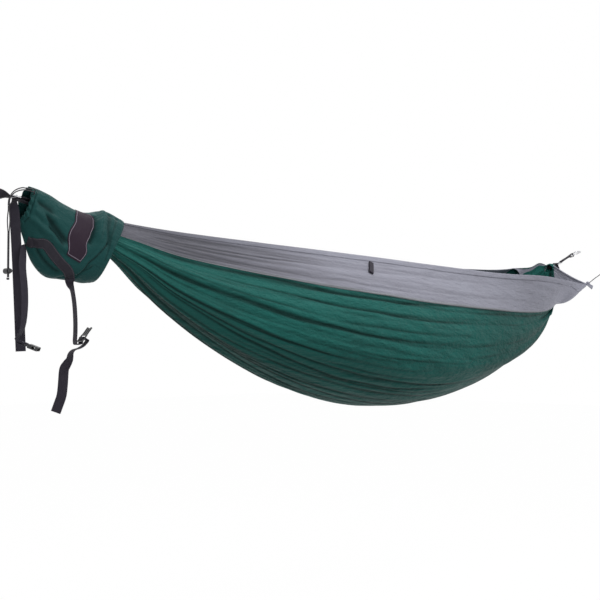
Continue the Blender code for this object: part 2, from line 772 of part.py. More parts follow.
def band_on_sack(name, route, width, thickness, material, per_span):
    """A band that lies on the sack along a route of shares and angles."""
    path = smooth_path([(v, angle, 0.0) for v, angle in route], per_span)
    lift = SEAT_LIFT + thickness / 2
    centres = [sack_point(p.x, math.radians(p.y), lift) for p in path]
    rows = []
    for i, spot in enumerate(path):
        _, along, around = sack_steps(spot.x, spot.y, lift)
        ahead = centres[min(i + 1, len(path) - 1)] - centres[max(i - 1, 0)]
        side = along.cross(around).cross(ahead).normalized()
        aa = along.dot(along)
        ab = along.dot(around)
        bb = around.dot(around)
        whole = aa * bb - ab * ab
        row = []
        for share in (-0.5, -0.25, 0.0, 0.25, 0.5):
            shift = side * width * share
            da = shift.dot(along)
            db = shift.dot(around)
            v = spot.x + (da * bb - db * ab) / whole
            angle = spot.y + (db * aa - da * ab) / whole
            row.append(sack_point(v, math.radians(angle), lift))
        rows.append(row)
    loft(name, rows, thickness, material)
    first = rows[0]
    last = rows[-1]
    return (first[2], (first[2] - rows[1][2]).normalized(), (first[4] - first[0]).normalized(),
            last[2], (last[2] - rows[-2][2]).normalized(), (last[4] - last[0]).normalized())


def plane_point(origin, right, step):
    """A point of a hanging plane, from its place across and its height."""
    return origin + right * step[0] + UP * step[1]


def thread_points(wrap, pitch, drop):
    """Side view of a band threaded over the middle bar and under the last bar of a buckle."""
    tangent = math.degrees(math.asin(2.0 * wrap / pitch))
    points = [Vector((-wrap, 0.0, -drop)), Vector((-wrap, 0.0, -drop / 2))]
    points += arc(0.0, 0.0, wrap, 180.0, 90.0 - tangent, 8)
    points += arc(pitch, 0.0, wrap, 270.0 - tangent, 270.0, 5)
    return points


def clip_frame(centre, rear, width_axis):
    rear = rear.normalized()
    side = (width_axis - rear * width_axis.dot(rear)).normalized()
    rise = rear.cross(side)
    return Matrix.Translation(centre) @ Matrix((rear, side, rise)).transposed().to_4x4()


def make_male_clip(place):
    """Ladder-lock base with a guide and two prongs that point away from the webbing."""
    half = BAR / 2
    slots = ((-BAR_PITCH + half, -half, BUCKLE_SLOT / 2),
             (half, BAR_PITCH - half, BUCKLE_SLOT / 2))
    outer = (BAR_PITCH + half, CLIP_WIDTH / 2, 0.004)
    clip = plate_with_slots("male_clip", outer, slots, BAR, place, BLACK_PLASTIC, 0.0)
    front = -(BAR_PITCH + half)
    root = 0.001
    pieces = (("guide", 0.0, 0.005, 0.9), ("prong_a", -0.0105, 0.0045, 1.0),
              ("prong_b", 0.0105, 0.0045, 1.0))
    for label, across, width, share in pieces:
        length = CLIP_TONGUE * share + root
        piece = box("male_clip_" + label, (front + root - length / 2, across, 0.0),
                    (length, width, 0.0036), place, BLACK_PLASTIC, CUTTERS)
        combine(clip, piece, 'UNION')
    return clip


def make_female_clip(place):
    """Hollow clip with an open socket and side windows, on a plate with a webbing slot."""
    half = CLIP_SOCKET / 2
    gap = WEB_THICK + 8.0 * CLEAR
    wall_back = half - 0.001
    slot_from = half + 0.0008
    bar_at = slot_from + gap + BAR / 2
    back = bar_at + BAR / 2
    middle = (wall_back + back) / 2
    spot = place @ Matrix.Translation((middle, 0.0, 0.0))
    slots = ((slot_from - middle, bar_at - BAR / 2 - middle, BUCKLE_SLOT / 2),)
    outer = ((back - wall_back) / 2, CLIP_WIDTH / 2, 0.0012)
    clip = plate_with_slots("female_clip", outer, slots, BAR, spot, BLACK_PLASTIC, 0.0)
    body = box("female_body", (0.0, 0.0, 0.0), (2.0 * half, CLIP_WIDTH, CLIP_THICK), place,
               BLACK_PLASTIC, CUTTERS, 0.0016)
    combine(clip, body, 'UNION')
    cavity = 2.0 * half - CLIP_END_WALL
    socket = box("female_socket", (-half + cavity / 2 - 0.001, 0.0, 0.0),
                 (cavity + 0.002, CLIP_WIDTH - 2.0 * CLIP_WALL, CLIP_THICK - 2.0 * CLIP_WALL),
                 place, BLACK_PLASTIC, CUTTERS)
    combine(clip, socket, 'DIFFERENCE')
    windows = box("female_windows", (-0.002, 0.0, 0.0), (0.009, 2.0 * CLIP_WIDTH, 0.0042), place,
                  BLACK_PLASTIC, CUTTERS)
    combine(clip, windows, 'DIFFERENCE')
    return bar_at


def hang_band(name, path, first_side, last_side, turn_from, turn_to, material=BLACK_WEB):
    """A hanging webbing whose width turns from one direction to another on the way."""
    if first_side.dot(last_side) < 0.0:
        last_side = -last_side

    def across(share):
        ease = min(1.0, max(0.0, (share - turn_from) / (turn_to - turn_from)))
        ease = ease * ease * (3.0 - 2.0 * ease)
        return first_side.lerp(last_side, ease)

    ribbon(name, path, across, WEB_WIDTH, material)


def make_sack_strap():
    """The strap sewn across the sack, with a clip half on each hanging end."""
    route = ((0.170, 164.0), (0.205, 142.0), (0.250, 124.0), (0.325, 126.0), (0.438, 136.0),
             (0.500, 148.0), (0.537, 159.0))
    ends = band_on_sack("sack_strap", route, WEB_WIDTH, WEB_THICK, BLACK_WEB, 5)
    left_spot, _, left_side, low_spot, low_out, low_side = ends

    # long end with the ladder-lock half
    plane = Vector((math.cos(math.radians(-12.0)), math.sin(math.radians(-12.0)), 0.0))
    level = Vector((-plane.y, plane.x, 0.0))
    start = low_spot + low_out * TAIL_GAP
    clip_at = plane_point(start, plane, (0.032, -0.150)) - level * 0.006
    rear = plane * -0.605 - UP * 0.796
    place = clip_frame(clip_at, rear, -level)
    make_male_clip(place)
    threaded = [place @ p for p in thread_points(BAR_WRAP, BAR_PITCH, 0.0075)]
    leave = threaded[-1]
    turn_path = [start, start + low_out * 0.004, start + low_out * 0.007 - UP * 0.007 - level * 0.002]
    for step in ((0.004, -0.028), (0.010, -0.062), (0.013, -0.100), (0.0135, -0.134),
                 (0.0125, -0.156), (0.0150, -0.1655)):
        turn_path.append(plane_point(start, plane, step) - level * 0.006)
    turn_path.append(leave + rear * 0.0035 - place.to_3x3() @ Vector((0.0, 0.0, 0.0004)))
    smooth = smooth_path(turn_path + [leave], 3)
    hang_band("male_strap_end", smooth[:-1] + list(reversed(threaded)), low_side,
              place.to_3x3() @ Vector((0.0, 1.0, 0.0)), 0.05, 0.42)

    tail_start = threaded[0] + (threaded[0] - threaded[1]).normalized() * TAIL_GAP
    tail_out = (threaded[0] - threaded[1]).normalized()
    tail = [tail_start, tail_start + tail_out * 0.006]
    for step in ((0.034, -0.176), (0.010, -0.186), (-0.006, -0.200), (-0.009, -0.222),
                 (-0.014, -0.250), (-0.022, -0.285), (-0.034, -0.330)):
        tail.append(plane_point(start, plane, step) - level * 0.006)
    hang_band("male_strap_tail", smooth_path(tail, 3), place.to_3x3() @ Vector((0.0, 1.0, 0.0)),
              VIEW_RIGHT, 0.30, 0.75)

    # short end with the socket half, hanging in front of the suspension strap's tail
    plane = VIEW_RIGHT
    level = Vector((-plane.y, plane.x, 0.0))
    half_edge = left_side * (WEB_WIDTH / 2)
    corner = min(left_spot + half_edge, left_spot - half_edge, key=lambda p: p.z)
    start = corner - plane * 0.0027 - level * (WEB_WIDTH / 2) - UP * TAIL_GAP
    front = plane * 0.93 - UP * 0.36
    clip_at = plane_point(start, plane, (0.034, -0.250)) - level * 0.028
    place = clip_frame(clip_at, -front, level)
    bar_at = make_female_clip(place)
    wrap = wrap_radius(BAR / math.sqrt(2.0))
    lap = 0.022
    into = [place @ (Vector((bar_at, 0.0, 0.0)) + p)
            for p in [Vector((lap, 0.0, wrap)), Vector((lap / 2, 0.0, wrap))]
            + arc(0.0, 0.0, wrap, 90.0, 270.0, 10)
            + [Vector((lap * 0.35, 0.0, -wrap)), Vector((lap * 0.8, 0.0, -0.8 * wrap))]]
    path = [start, start - UP * 0.006]
    for across, height, nearer in ((0.001, -0.024, 0.008), (0.004, -0.058, 0.024),
                                   (0.010, -0.108, 0.028), (0.011, -0.158, 0.028),
                                   (0.006, -0.203, 0.028), (-0.008, -0.229, 0.028)):
        path.append(plane_point(start, plane, (across, height)) - level * nearer)
    smooth = smooth_path(path + [into[-1]], 3)

    def across(share):
        return level + plane * 0.5 * math.sin(math.pi * min(1.0, share / 0.58))

    ribbon("female_strap_end", smooth[:-1] + list(reversed(into)), across, WEB_WIDTH, BLACK_WEB)


def make_drawcord():
    """Two strands from the mouth's channel over the buckle's side, a lock and a knot."""
    top = LEFT_GATHER + Vector((-0.2456, -0.0265, 0.012))
    low = -0.158
    for strand, shift in (("front", -0.5), ("back", 0.5)):
        angle = math.radians(50.0 + 10.0 * shift)
        start = sack_point(0.055, angle, SEAT_LIFT)
        out = (sack_point(0.055, angle, 0.010) - start).normalized()
        offset = Vector((shift * DRAWCORD_PITCH, 0.0, 0.0))
        aside = Vector((0.0, 0.0, -shift * 1.6 * DRAWCORD_PITCH))
        upper = [start, start + out * 0.005 + Vector((-0.002, 0.0, 0.002)),
                 LEFT_GATHER + Vector((-0.198, -0.036, 0.0555)) + offset + aside,
                 LEFT_GATHER + Vector((-0.214, -0.034, 0.0560)) + offset + aside,
                 LEFT_GATHER + Vector((-0.232, -0.030, 0.0480)) + offset + aside * 0.6,
                 LEFT_GATHER + Vector((-0.243, -0.027, 0.0330)) + offset,
                 top + offset + Vector((0.0, 0.0, 0.0006 + 0.006)),
                 top + offset + Vector((0.0, 0.0, 0.0006))]
        tube("drawcord_upper_" + strand, smooth_path(upper, 3), DRAWCORD_RADIUS, BLACK_CORD, 1)
        bow = Vector((0.0020 * (1.0 if shift > 0 else -1.0), 0.0, 0.0))
        lower = [top + offset, top + offset - UP * 0.010, top + offset + bow - UP * 0.034,
                 top + offset - UP * 0.062, top + offset - UP * 0.070,
                 top + offset - UP * 0.110, top + offset - UP * 0.150]
        end = LEFT_GATHER.z + low
        lower.append(Vector((top.x + offset.x, top.y, end)))
        tube("drawcord_run_" + strand, smooth_path(lower, 3), DRAWCORD_RADIUS, BLACK_CORD, 1)
    knot = Vector((top.x, top.y, LEFT_GATHER.z + low - 0.0036))
    bm = bmesh.new()
    bmesh.ops.create_uvsphere(bm, u_segments=14, v_segments=8, radius=0.0033)
    bmesh.ops.scale(bm, vec=(1.15, 0.9, 1.0), verts=bm.verts)
    bmesh.ops.translate(bm, vec=knot, verts=bm.verts)
    finish_mesh("drawcord_knot", bm, BLACK_CORD)
    make_cord_lock(Vector((top.x, top.y, LEFT_GATHER.z - 0.143)))


def make_cord_lock(centre):
    """Barrel with a floor, and a plunger whose hole lines up with the barrel's when pressed."""
    place = clip_frame(centre, Vector((0.0, -1.0, 0.0)), Vector((1.0, 0.0, 0.0)))
    ahead = (1.0, 0.0, 0.0)
    rim = 0.004
    back = rim - LOCK_LENGTH
    bore = LOCK_RADIUS - LOCK_WALL
    floor = back + LOCK_WALL
    barrel = cylinder("cord_lock_barrel", ((rim + back) / 2, 0.0, 0.0), LOCK_RADIUS, LOCK_LENGTH,
                      ahead, place, BLACK_PLASTIC, sides=24)
    cavity = cylinder("lock_cavity", ((rim + floor) / 2 + 0.001, 0.0, 0.0), bore,
                      rim - floor + 0.002, ahead, place, BLACK_PLASTIC, CUTTERS, sides=24)
    combine(barrel, cavity, 'DIFFERENCE')
    gap = DRAWCORD_RADIUS + 1.5 * CLEAR
    across = DRAWCORD_PITCH + 2.0 * gap
    hole = box("lock_hole", (0.0, 0.0, 0.0), (2.0 * gap, across, 4.0 * LOCK_RADIUS), place,
               BLACK_PLASTIC, CUTTERS)
    combine(barrel, hole, 'DIFFERENCE')
    low = floor + PLUNGER_TRAVEL + CLEAR
    high = rim + PLUNGER_OUT
    plunger = cylinder("cord_lock_plunger", ((low + high) / 2, 0.0, 0.0), bore - CLEAR, high - low,
                       ahead, place, BLACK_PLASTIC, sides=24)
    slot = box("plunger_hole", (PLUNGER_TRAVEL / 2, 0.0, 0.0),
               (2.0 * gap + PLUNGER_TRAVEL, across, 4.0 * LOCK_RADIUS), place, BLACK_PLASTIC, CUTTERS)
    combine(plunger, slot, 'DIFFERENCE')


def make_edge_tab(name, rim_share, inward, lean):
    """A short webbing loop that hangs from the rim's hem on the outside of the side panel."""
    rim = smooth_cloth(TAB_STATION, rim_share)
    below = smooth_cloth(TAB_STATION, rim_share + inward * 0.035)
    down = below - rim
    down = (down + Vector((lean * down.y, 0.0, 0.0))).normalized()
    out = Vector((0.0, -down.z, down.y)).normalized() * inward
    out = -out if out.y * inward > 0.0 else out
    radius = TAB_OPEN / 2 + TAB_THICK / 2
    stand = CLOTH_THICK / 2 + CLEAR + TAB_THICK / 2 + radius + 0.0003
    top = rim + down * (TAB_DROP + radius) + out * stand
    low = rim + down * (TAB_DROP + TAB_LENGTH - radius) + out * stand
    points = []
    for centre, first in ((top, 0.0), (low, 180.0)):
        for k in range(9):
            angle = math.radians(first + 180.0 * k / 8)
            points.append(centre + out * radius * math.cos(angle) - down * radius * math.sin(angle))
    dense = []
    for i, point in enumerate(points):
        after = points[(i + 1) % len(points)]
        dense.append(point)
        if (after - point).length > 0.01:
            dense += [point.lerp(after, 0.33), point.lerp(after, 0.67)]
    ribbon(name, dense, down.cross(out), TAB_WIDTH, BLACK_WEB, TAB_THICK, closed=True)


def make_corner():
    """The knotted near corner and the thin cord that pulls it out, ending in a small loop."""
    ahead = Vector((0.93, 0.0, 0.368)).normalized()
    side = Vector((0.0, 1.0, 0.0))
    corner = cloth_point(CLOTH_LAST, 0.0)
    knot_at = corner + ahead * (CORNER_KNOT + CLEAR)
    bm = bmesh.new()
    bmesh.ops.create_uvsphere(bm, u_segments=18, v_segments=12, radius=CORNER_KNOT)
    bmesh.ops.scale(bm, vec=(1.0, 0.85, 0.85), verts=bm.verts)
    tilt = Vector((1.0, 0.0, 0.0)).rotation_difference(ahead).to_matrix().to_4x4()
    bmesh.ops.transform(bm, matrix=Matrix.Translation(knot_at) @ tilt, verts=bm.verts)
    finish_mesh("near_corner_knot", bm, GREY)
    start = knot_at + ahead * (CORNER_KNOT + CLEAR)
    lift = ahead.cross(side)
    route = ((0.0, 0.0, 0.0), (0.020, 0.0, 0.0), (0.060, 0.002, -0.001), (0.095, 0.001, 0.0),
             (0.115, 0.004, 0.0), (0.130, 0.0085, 0.0), (0.142, 0.0050, 0.0), (0.144, -0.001, 0.0),
             (0.137, -0.0065, 0.0), (0.123, -0.0060, 0.0), (0.110, -0.0035, 0.0))
    path = [start + ahead * a + side * b + lift * c for a, b, c in route]
    tube("near_corner_cord", smooth_path(path, 4), CORNER_CORD_RADIUS, BLACK_CORD, 2)


# Main

make_cloth()
LEFT_PLACE = make_end("left", LEFT_GATHER, LEFT_ANCHOR, LEFT_LOOP, math.radians(90.0),
                      LEFT_GATHER.x + GATHER_SPAN * CLOTH_FIRST - HEM_GAP)
RIGHT_PLACE = make_end("right", RIGHT_GATHER, RIGHT_ANCHOR, RIGHT_LOOP, 0.0,
                       LEFT_GATHER.x + GATHER_SPAN * CLOTH_LAST + HEM_GAP)
make_tail("left", LEFT_PLACE, LEFT_LOOP,
          ((0.12, 0.001, -0.001), (0.35, 0.008, 0.0), (0.65, 0.016, 0.002), (1.0, 0.022, 0.0)),
          VIEW_RIGHT, LEFT_TAIL)
make_tail("right", RIGHT_PLACE, RIGHT_LOOP, ((0.35, 0.002, 0.0), (1.0, 0.003, 0.0)),
          VIEW_RIGHT, RIGHT_TAIL)
make_sack()
sack_patch("sack_label", (0.450, 0.385), (0.615, 0.530), (16.0, 114.0), (30.0, 122.0), LABEL,
           LABEL_THICK, 8)
make_sack_strap()
make_drawcord()
make_edge_tab("near_edge_tab", 0.0, 1.0, TAB_LEAN)
make_edge_tab("far_edge_tab", 1.0, -1.0, 0.0)
make_corner()
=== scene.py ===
"""Visual model of a travel hammock, hung at both ends, with its stuff sack round the left gather.

Units are metres in the part's own frame: +X from the left anchor to the right one, +Z up.
"""

import json
import math
import random

import bmesh
import bpy
from mathutils import Matrix, Vector, noise


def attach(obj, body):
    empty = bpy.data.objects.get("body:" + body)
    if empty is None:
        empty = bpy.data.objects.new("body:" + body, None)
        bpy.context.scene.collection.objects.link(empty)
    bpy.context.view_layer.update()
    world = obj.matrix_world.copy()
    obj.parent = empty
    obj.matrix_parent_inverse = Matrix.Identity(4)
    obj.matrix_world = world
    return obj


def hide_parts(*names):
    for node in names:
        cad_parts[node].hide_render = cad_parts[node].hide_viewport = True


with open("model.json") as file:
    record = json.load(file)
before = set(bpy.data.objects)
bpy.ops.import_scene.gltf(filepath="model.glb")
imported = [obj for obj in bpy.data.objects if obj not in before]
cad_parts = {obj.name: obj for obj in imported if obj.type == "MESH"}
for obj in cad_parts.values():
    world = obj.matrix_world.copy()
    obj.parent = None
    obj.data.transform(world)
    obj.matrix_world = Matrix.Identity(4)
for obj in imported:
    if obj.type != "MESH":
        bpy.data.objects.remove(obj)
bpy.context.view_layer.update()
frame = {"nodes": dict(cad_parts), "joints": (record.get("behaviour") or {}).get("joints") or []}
NODES = frame["nodes"]
JOINTS = {joint["name"]: joint for joint in frame["joints"]}

# Driving dimensions. The side panels take SIDE_SHARE of the cloth's width each, and near its ends
# the cloth closes to a bundle, open by BUNDLE_SPLIT radians on each side of its top.
GATHER = Vector((0.430, 0.0, -0.078))
SPAN = 2.307
RIGHT_GATHER = GATHER + Vector((SPAN, 0.0, 0.0))
ANCHOR = Vector((2.972, 0.0, 0.0))
SIDE_SHARE = 0.13
FAR_SHARE = 1.0 - SIDE_SHARE
DEPTH = 0.520
NEAR_SWELL = 0.235
FAR_SWELL = 0.250
CLOTH_THICK = 0.0009
BUNDLE_RADIUS = 0.0165
BUNDLE_DROP = 0.003
BUNDLE_SPLIT = 0.25
BUNDLE_FADE = 0.14
WEB_WIDTH = 0.025
WEB_THICK = 0.002
UP = Vector((0.0, 0.0, 1.0))
LEVEL = Vector((0.0, 1.0, 0.0))


# Camera

IMAGE_PIXELS = 600.0
FOCAL_PIXELS = 1100.0
HORIZON_PIXELS = 45.0
SENSOR_MM = 36.0
CAMERA_AZIMUTH = math.radians(-47.05)
CAMERA_PLACE = Vector((-1.254, -2.314, -0.397))

# Level directions to the picture's right and away from the camera
VIEW_RIGHT = Vector((0.681, -0.732, 0.0))
VIEW_DEEP = Vector((0.732, 0.681, 0.0))


def make_camera():
    pitch = math.atan(HORIZON_PIXELS / FOCAL_PIXELS)
    level = Vector((-math.sin(CAMERA_AZIMUTH), math.cos(CAMERA_AZIMUTH), 0.0))
    right = Vector((math.cos(CAMERA_AZIMUTH), math.sin(CAMERA_AZIMUTH), 0.0))
    ahead = level * math.cos(pitch) + UP * math.sin(pitch)
    data = bpy.data.cameras.new("camera")
    data.lens = FOCAL_PIXELS * SENSOR_MM / IMAGE_PIXELS
    data.sensor_width = SENSOR_MM
    data.clip_end = 100.0
    camera = bpy.data.objects.new("camera", data)
    turn = Matrix((right, right.cross(ahead), -ahead)).transposed().to_4x4()
    camera.matrix_world = Matrix.Translation(CAMERA_PLACE) @ turn
    bpy.context.scene.collection.objects.link(camera)
    bpy.context.scene.camera = camera


make_camera()


# Material building

WEAVE_PITCH = 0.0011
STITCH_PITCH = 0.0032
STITCH_SHARE = 0.68
STITCH_HALF = 0.00055
RIB_PITCH = 0.0021
TWILL_PITCH = 0.0016
PLAIT_PITCH = 0.0028


def new_material(name):
    material = bpy.data.materials.new(name)
    material.use_nodes = True
    tree = material.node_tree
    return material, tree, tree.nodes["Principled BSDF"]


def set_inputs(node, **inputs):
    for key, value in inputs.items():
        node.inputs[key.replace("_", " ")].default_value = value


def add_node(tree, kind, **inputs):
    node = tree.nodes.new("ShaderNode" + kind)
    set_inputs(node, **inputs)
    return node


def feed(tree, value, slot):
    """A number, a colour or another node's output into a slot."""
    if isinstance(value, (int, float)):
        slot.default_value = value
    elif isinstance(value, tuple):
        slot.default_value = (*value, 1.0)
    else:
        tree.links.new(value, slot)


def math_node(tree, operation, *values):
    node = add_node(tree, "Math")
    node.operation = operation
    for slot, value in zip(node.inputs, values):
        feed(tree, value, slot)
    return node.outputs[0]


def times(tree, first, second):
    return math_node(tree, 'MULTIPLY', first, second)


def wave(tree, distance, pitch):
    return math_node(tree, 'SINE', times(tree, distance, 2.0 * math.pi / pitch))


def mix_colours(tree, factor, first, second):
    node = add_node(tree, "Mix")
    node.data_type = 'RGBA'
    for slot, value in ((0, factor), (6, first), (7, second)):
        feed(tree, value, node.inputs[slot])
    return node.outputs[2]


def noise_texture(tree, scale, detail, coordinates, roughness=0.5):
    node = add_node(tree, "TexNoise", Scale=scale, Detail=detail, Roughness=roughness)
    tree.links.new(coordinates, node.inputs["Vector"])
    return node.outputs[0]


def bump(tree, height, strength, distance, under=None):
    node = add_node(tree, "Bump", Strength=strength, Distance=distance)
    tree.links.new(height, node.inputs["Height"])
    if under is not None:
        tree.links.new(under, node.inputs["Normal"])
    return node.outputs[0]


def finish_shader(tree, shader, colour, normal, **inputs):
    tree.links.new(colour, shader.inputs["Base Color"])
    tree.links.new(normal, shader.inputs["Normal"])
    set_inputs(shader, **inputs)


def uv_parts(tree):
    """The surface's coordinates in metres: both, along and across."""
    uv = add_node(tree, "UVMap")
    uv.uv_map = "cloth"
    split = add_node(tree, "SeparateXYZ")
    tree.links.new(uv.outputs[0], split.inputs[0])
    return uv.outputs[0], split.outputs[0], split.outputs[1]


def object_space(tree):
    return add_node(tree, "TexCoord").outputs["Object"]


def stitch_mask(tree, along, across, rows):
    """Dashes of thread along rows at the given places across."""
    step = math_node(tree, 'FRACT', math_node(tree, 'DIVIDE', along, STITCH_PITCH))
    dash = math_node(tree, 'LESS_THAN', step, STITCH_SHARE)
    total = None
    for row in rows:
        away = math_node(tree, 'ABSOLUTE', math_node(tree, 'SUBTRACT', across, row))
        line = times(tree, math_node(tree, 'LESS_THAN', away, STITCH_HALF), dash)
        total = line if total is None else math_node(tree, 'MAXIMUM', total, line)
    return total


def nylon(name, colour, deep, roughness=0.48, crinkle=0.35, stitches=(), thread=(0.3, 0.3, 0.3),
          sheen=0.04):
    """Thin plain-woven nylon: fine weave, small crinkles, slight colour change, sewn rows.

    The mesh's attribute "shade" is painted shade: it darkens the colour in the creases, where the cloth
    is gathered and where it turns under.
    """
    material, tree, shader = new_material(name)
    uv, along, across = uv_parts(tree)
    look = mix_colours(tree, noise_texture(tree, 7.0, 3.0, object_space(tree)), deep, colour)
    # painted shade: the attribute "shade" mixes the colour up to 80 % of the way to a much darker tone
    shade = add_node(tree, "Attribute")
    shade.attribute_name = "shade"
    painted_shade_amount = times(tree, shade.outputs["Fac"], 0.80)
    look = mix_colours(tree, painted_shade_amount, look, tuple(0.24 * c for c in deep))
    if stitches:
        look = mix_colours(tree, stitch_mask(tree, along, across, stitches), look, thread)
    crossing = times(tree, wave(tree, along, WEAVE_PITCH), wave(tree, across, WEAVE_PITCH))
    weave = bump(tree, crossing, 0.10, 0.0002)
    stretch = add_node(tree, "Mapping", Scale=(0.42, 1.0, 1.0))
    tree.links.new(uv, stretch.inputs["Vector"])
    large = noise_texture(tree, 34.0, 4.0, stretch.outputs[0], 0.55)
    small = noise_texture(tree, 130.0, 3.0, stretch.outputs[0], 0.6)
    wrinkled = bump(tree, large, crinkle, 0.013, weave)
    wrinkled = bump(tree, small, crinkle * 0.8, 0.0034, wrinkled)
    finish_shader(tree, shader, look, wrinkled, Roughness=roughness, Sheen_Weight=sheen,
                  Sheen_Roughness=0.4, Specular_IOR_Level=0.06)
    return material


def webbing(name, colour, edge, stitches=()):
    """Woven strap: ribs across its length, a firm edge and worn lighter threads."""
    material, tree, shader = new_material(name)
    along, across = uv_parts(tree)[1:]
    look = mix_colours(tree, noise_texture(tree, 60.0, 4.0, object_space(tree)), colour, edge)
    if stitches:
        look = mix_colours(tree, stitch_mask(tree, along, across, stitches), look,
                           (0.09, 0.085, 0.10))
    cross = times(tree, wave(tree, across, TWILL_PITCH), 0.7)
    twill = math_node(tree, 'ADD', wave(tree, along, RIB_PITCH), cross)
    finish_shader(tree, shader, look, bump(tree, twill, 0.5, 0.0003), Roughness=0.62,
                  Sheen_Weight=0.03, Sheen_Roughness=0.5, Specular_IOR_Level=0.14)
    return material


def braided(name, colour, light):
    material, tree, shader = new_material(name)
    along, across = uv_parts(tree)[1:]
    lead = times(tree, along, 2.0 * math.pi / PLAIT_PITCH)
    turn = times(tree, across, 4.0 * math.pi)
    left = math_node(tree, 'SINE', math_node(tree, 'ADD', lead, turn))
    right = math_node(tree, 'SINE', math_node(tree, 'SUBTRACT', lead, turn))
    plait = math_node(tree, 'MAXIMUM', left, right)
    tint = times(tree, math_node(tree, 'ADD', plait, 1.0), 0.5)
    finish_shader(tree, shader, mix_colours(tree, tint, colour, light),
                  bump(tree, plait, 0.6, 0.0003), Roughness=0.6)
    return material


def moulded(name, colour, roughness):
    """Moulded plastic with a faint spark-eroded grain."""
    material, tree, shader = new_material(name)
    place = object_space(tree)
    lighter = tuple(c * 1.7 + 0.004 for c in colour)
    look = mix_colours(tree, noise_texture(tree, 90.0, 3.0, place), colour, lighter)
    grain = noise_texture(tree, 1500.0, 2.0, place)
    finish_shader(tree, shader, look, bump(tree, grain, 0.22, 0.0003), Roughness=roughness)
    return material


def steel_wire(name):
    """Polished steel with fine drawing marks and duller patches from handling."""
    material, tree, shader = new_material(name)
    place = object_space(tree)
    patches = noise_texture(tree, 45.0, 5.0, place)
    look = mix_colours(tree, patches, (0.50, 0.50, 0.52), (0.68, 0.68, 0.70))
    ramp = add_node(tree, "MapRange", To_Min=0.18, To_Max=0.40)
    tree.links.new(patches, ramp.inputs["Value"])
    tree.links.new(ramp.outputs[0], shader.inputs["Roughness"])
    marks = noise_texture(tree, 900.0, 2.0, place)
    finish_shader(tree, shader, look, bump(tree, marks, 0.08, 0.0002), Metallic=1.0)
    return material


GREEN = nylon("green_cloth", (0.020, 0.160, 0.138), (0.022, 0.106, 0.094), 0.52, 1.0, sheen=0.02)
GREY = nylon("grey_cloth", (0.345, 0.352, 0.420), (0.300, 0.297, 0.352), 0.52, 0.62)
SEAM = nylon("seam_cloth", (0.36, 0.37, 0.40), (0.29, 0.30, 0.33), 0.55, 0.20,
             (0.0022, 0.0068), (0.11, 0.13, 0.14))
SACK = nylon("sack_cloth", (0.016, 0.077, 0.074), (0.012, 0.056, 0.055), 0.50, 0.60)
SACK_HEM = nylon("sack_hem_cloth", (0.018, 0.082, 0.079), (0.013, 0.060, 0.059), 0.50, 0.45,
                 (0.0025, 0.0200), (0.040, 0.105, 0.100))
LABEL = nylon("label_cloth", (0.040, 0.027, 0.040), (0.030, 0.020, 0.031), 0.50, 0.18)
LABEL_EDGE = braided("label_border", (0.16, 0.13, 0.17), (0.26, 0.22, 0.27))
WEB = webbing("black_webbing_look", (0.024, 0.021, 0.031), (0.040, 0.036, 0.050))
WEB_SEWN = webbing("sewn_webbing_look", (0.020, 0.018, 0.025), (0.033, 0.030, 0.040),
                   (0.002, 0.023))
CORD = braided("cord_look", (0.008, 0.007, 0.010), (0.024, 0.021, 0.028))
PLASTIC = moulded("plastic_look", (0.012, 0.012, 0.014), 0.38)
STEEL = steel_wire("steel_look")


# Curves

def spread(low, high, steps):
    return [low + (high - low) * i / steps for i in range(steps + 1)]


def eased(share, start, end):
    ease = min(1.0, max(0.0, (share - start) / (end - start)))
    return ease * ease * (3.0 - 2.0 * ease)


def hump(share, size, centre, width):
    """A bell curve of a given size."""
    return size * math.exp(-((share - centre) / width) ** 2)


def hermite(u, start, end, leave, arrive):
    """A smooth way from start to end that has the given slopes there."""
    return (start * (2 * u**3 - 3 * u**2 + 1) + leave * (u**3 - 2 * u**2 + u)
            + end * (3 * u**2 - 2 * u**3) + arrive * (u**3 - u**2))


def smooth_path(points, per_span):
    points = [Vector(p) for p in points]
    ends = [points[0] * 2 - points[1]] + points + [points[-1] * 2 - points[-2]]
    path = []
    for i in range(1, len(ends) - 2):
        before, start, end, after = ends[i - 1:i + 3]
        for k in range(per_span):
            path.append(hermite(k / per_span, start, end, (end - before) / 2, (after - start) / 2))
    path.append(points[-1])
    return path


def path_tangent(path, i, closed=False):
    count = len(path)
    ahead = path[(i + 1) % count] if closed else path[min(i + 1, count - 1)]
    behind = path[i - 1] if closed else path[max(i - 1, 0)]
    return (ahead - behind).normalized()


def arc(centre, radius, start, end, steps):
    """Points of an arc in a frame's X-Z plane, with angles in degrees from +X."""
    return [Vector((centre + radius * math.cos(angle), 0.0, radius * math.sin(angle)))
            for angle in map(math.radians, spread(start, end, steps))]


# Mesh building

def add_object(name, bm, material):
    mesh = bpy.data.meshes.new(name)
    bm.to_mesh(mesh)
    bm.free()
    obj = bpy.data.objects.new(name, mesh)
    obj.data.materials.append(material)
    bpy.context.scene.collection.objects.link(obj)
    return obj


def skin(rows, uvs):
    """Smooth faces over rows of points, closed each way in which uvs has one place more."""
    bm = bmesh.new()
    layer = bm.loops.layers.uv.new("cloth")
    verts = [[bm.verts.new(point) for point in row] for row in rows]
    for i in range(len(uvs) - 1):
        here, after = verts[i], verts[(i + 1) % len(verts)]
        for j in range(len(uvs[0]) - 1):
            k = (j + 1) % len(here)
            face = bm.faces.new((here[j], here[k], after[k], after[j]))
            face.smooth = True
            corners = (uvs[i][j], uvs[i][j + 1], uvs[i + 1][j + 1], uvs[i + 1][j])
            for loop, corner in zip(face.loops, corners):
                loop[layer].uv = corner
    return bm, verts


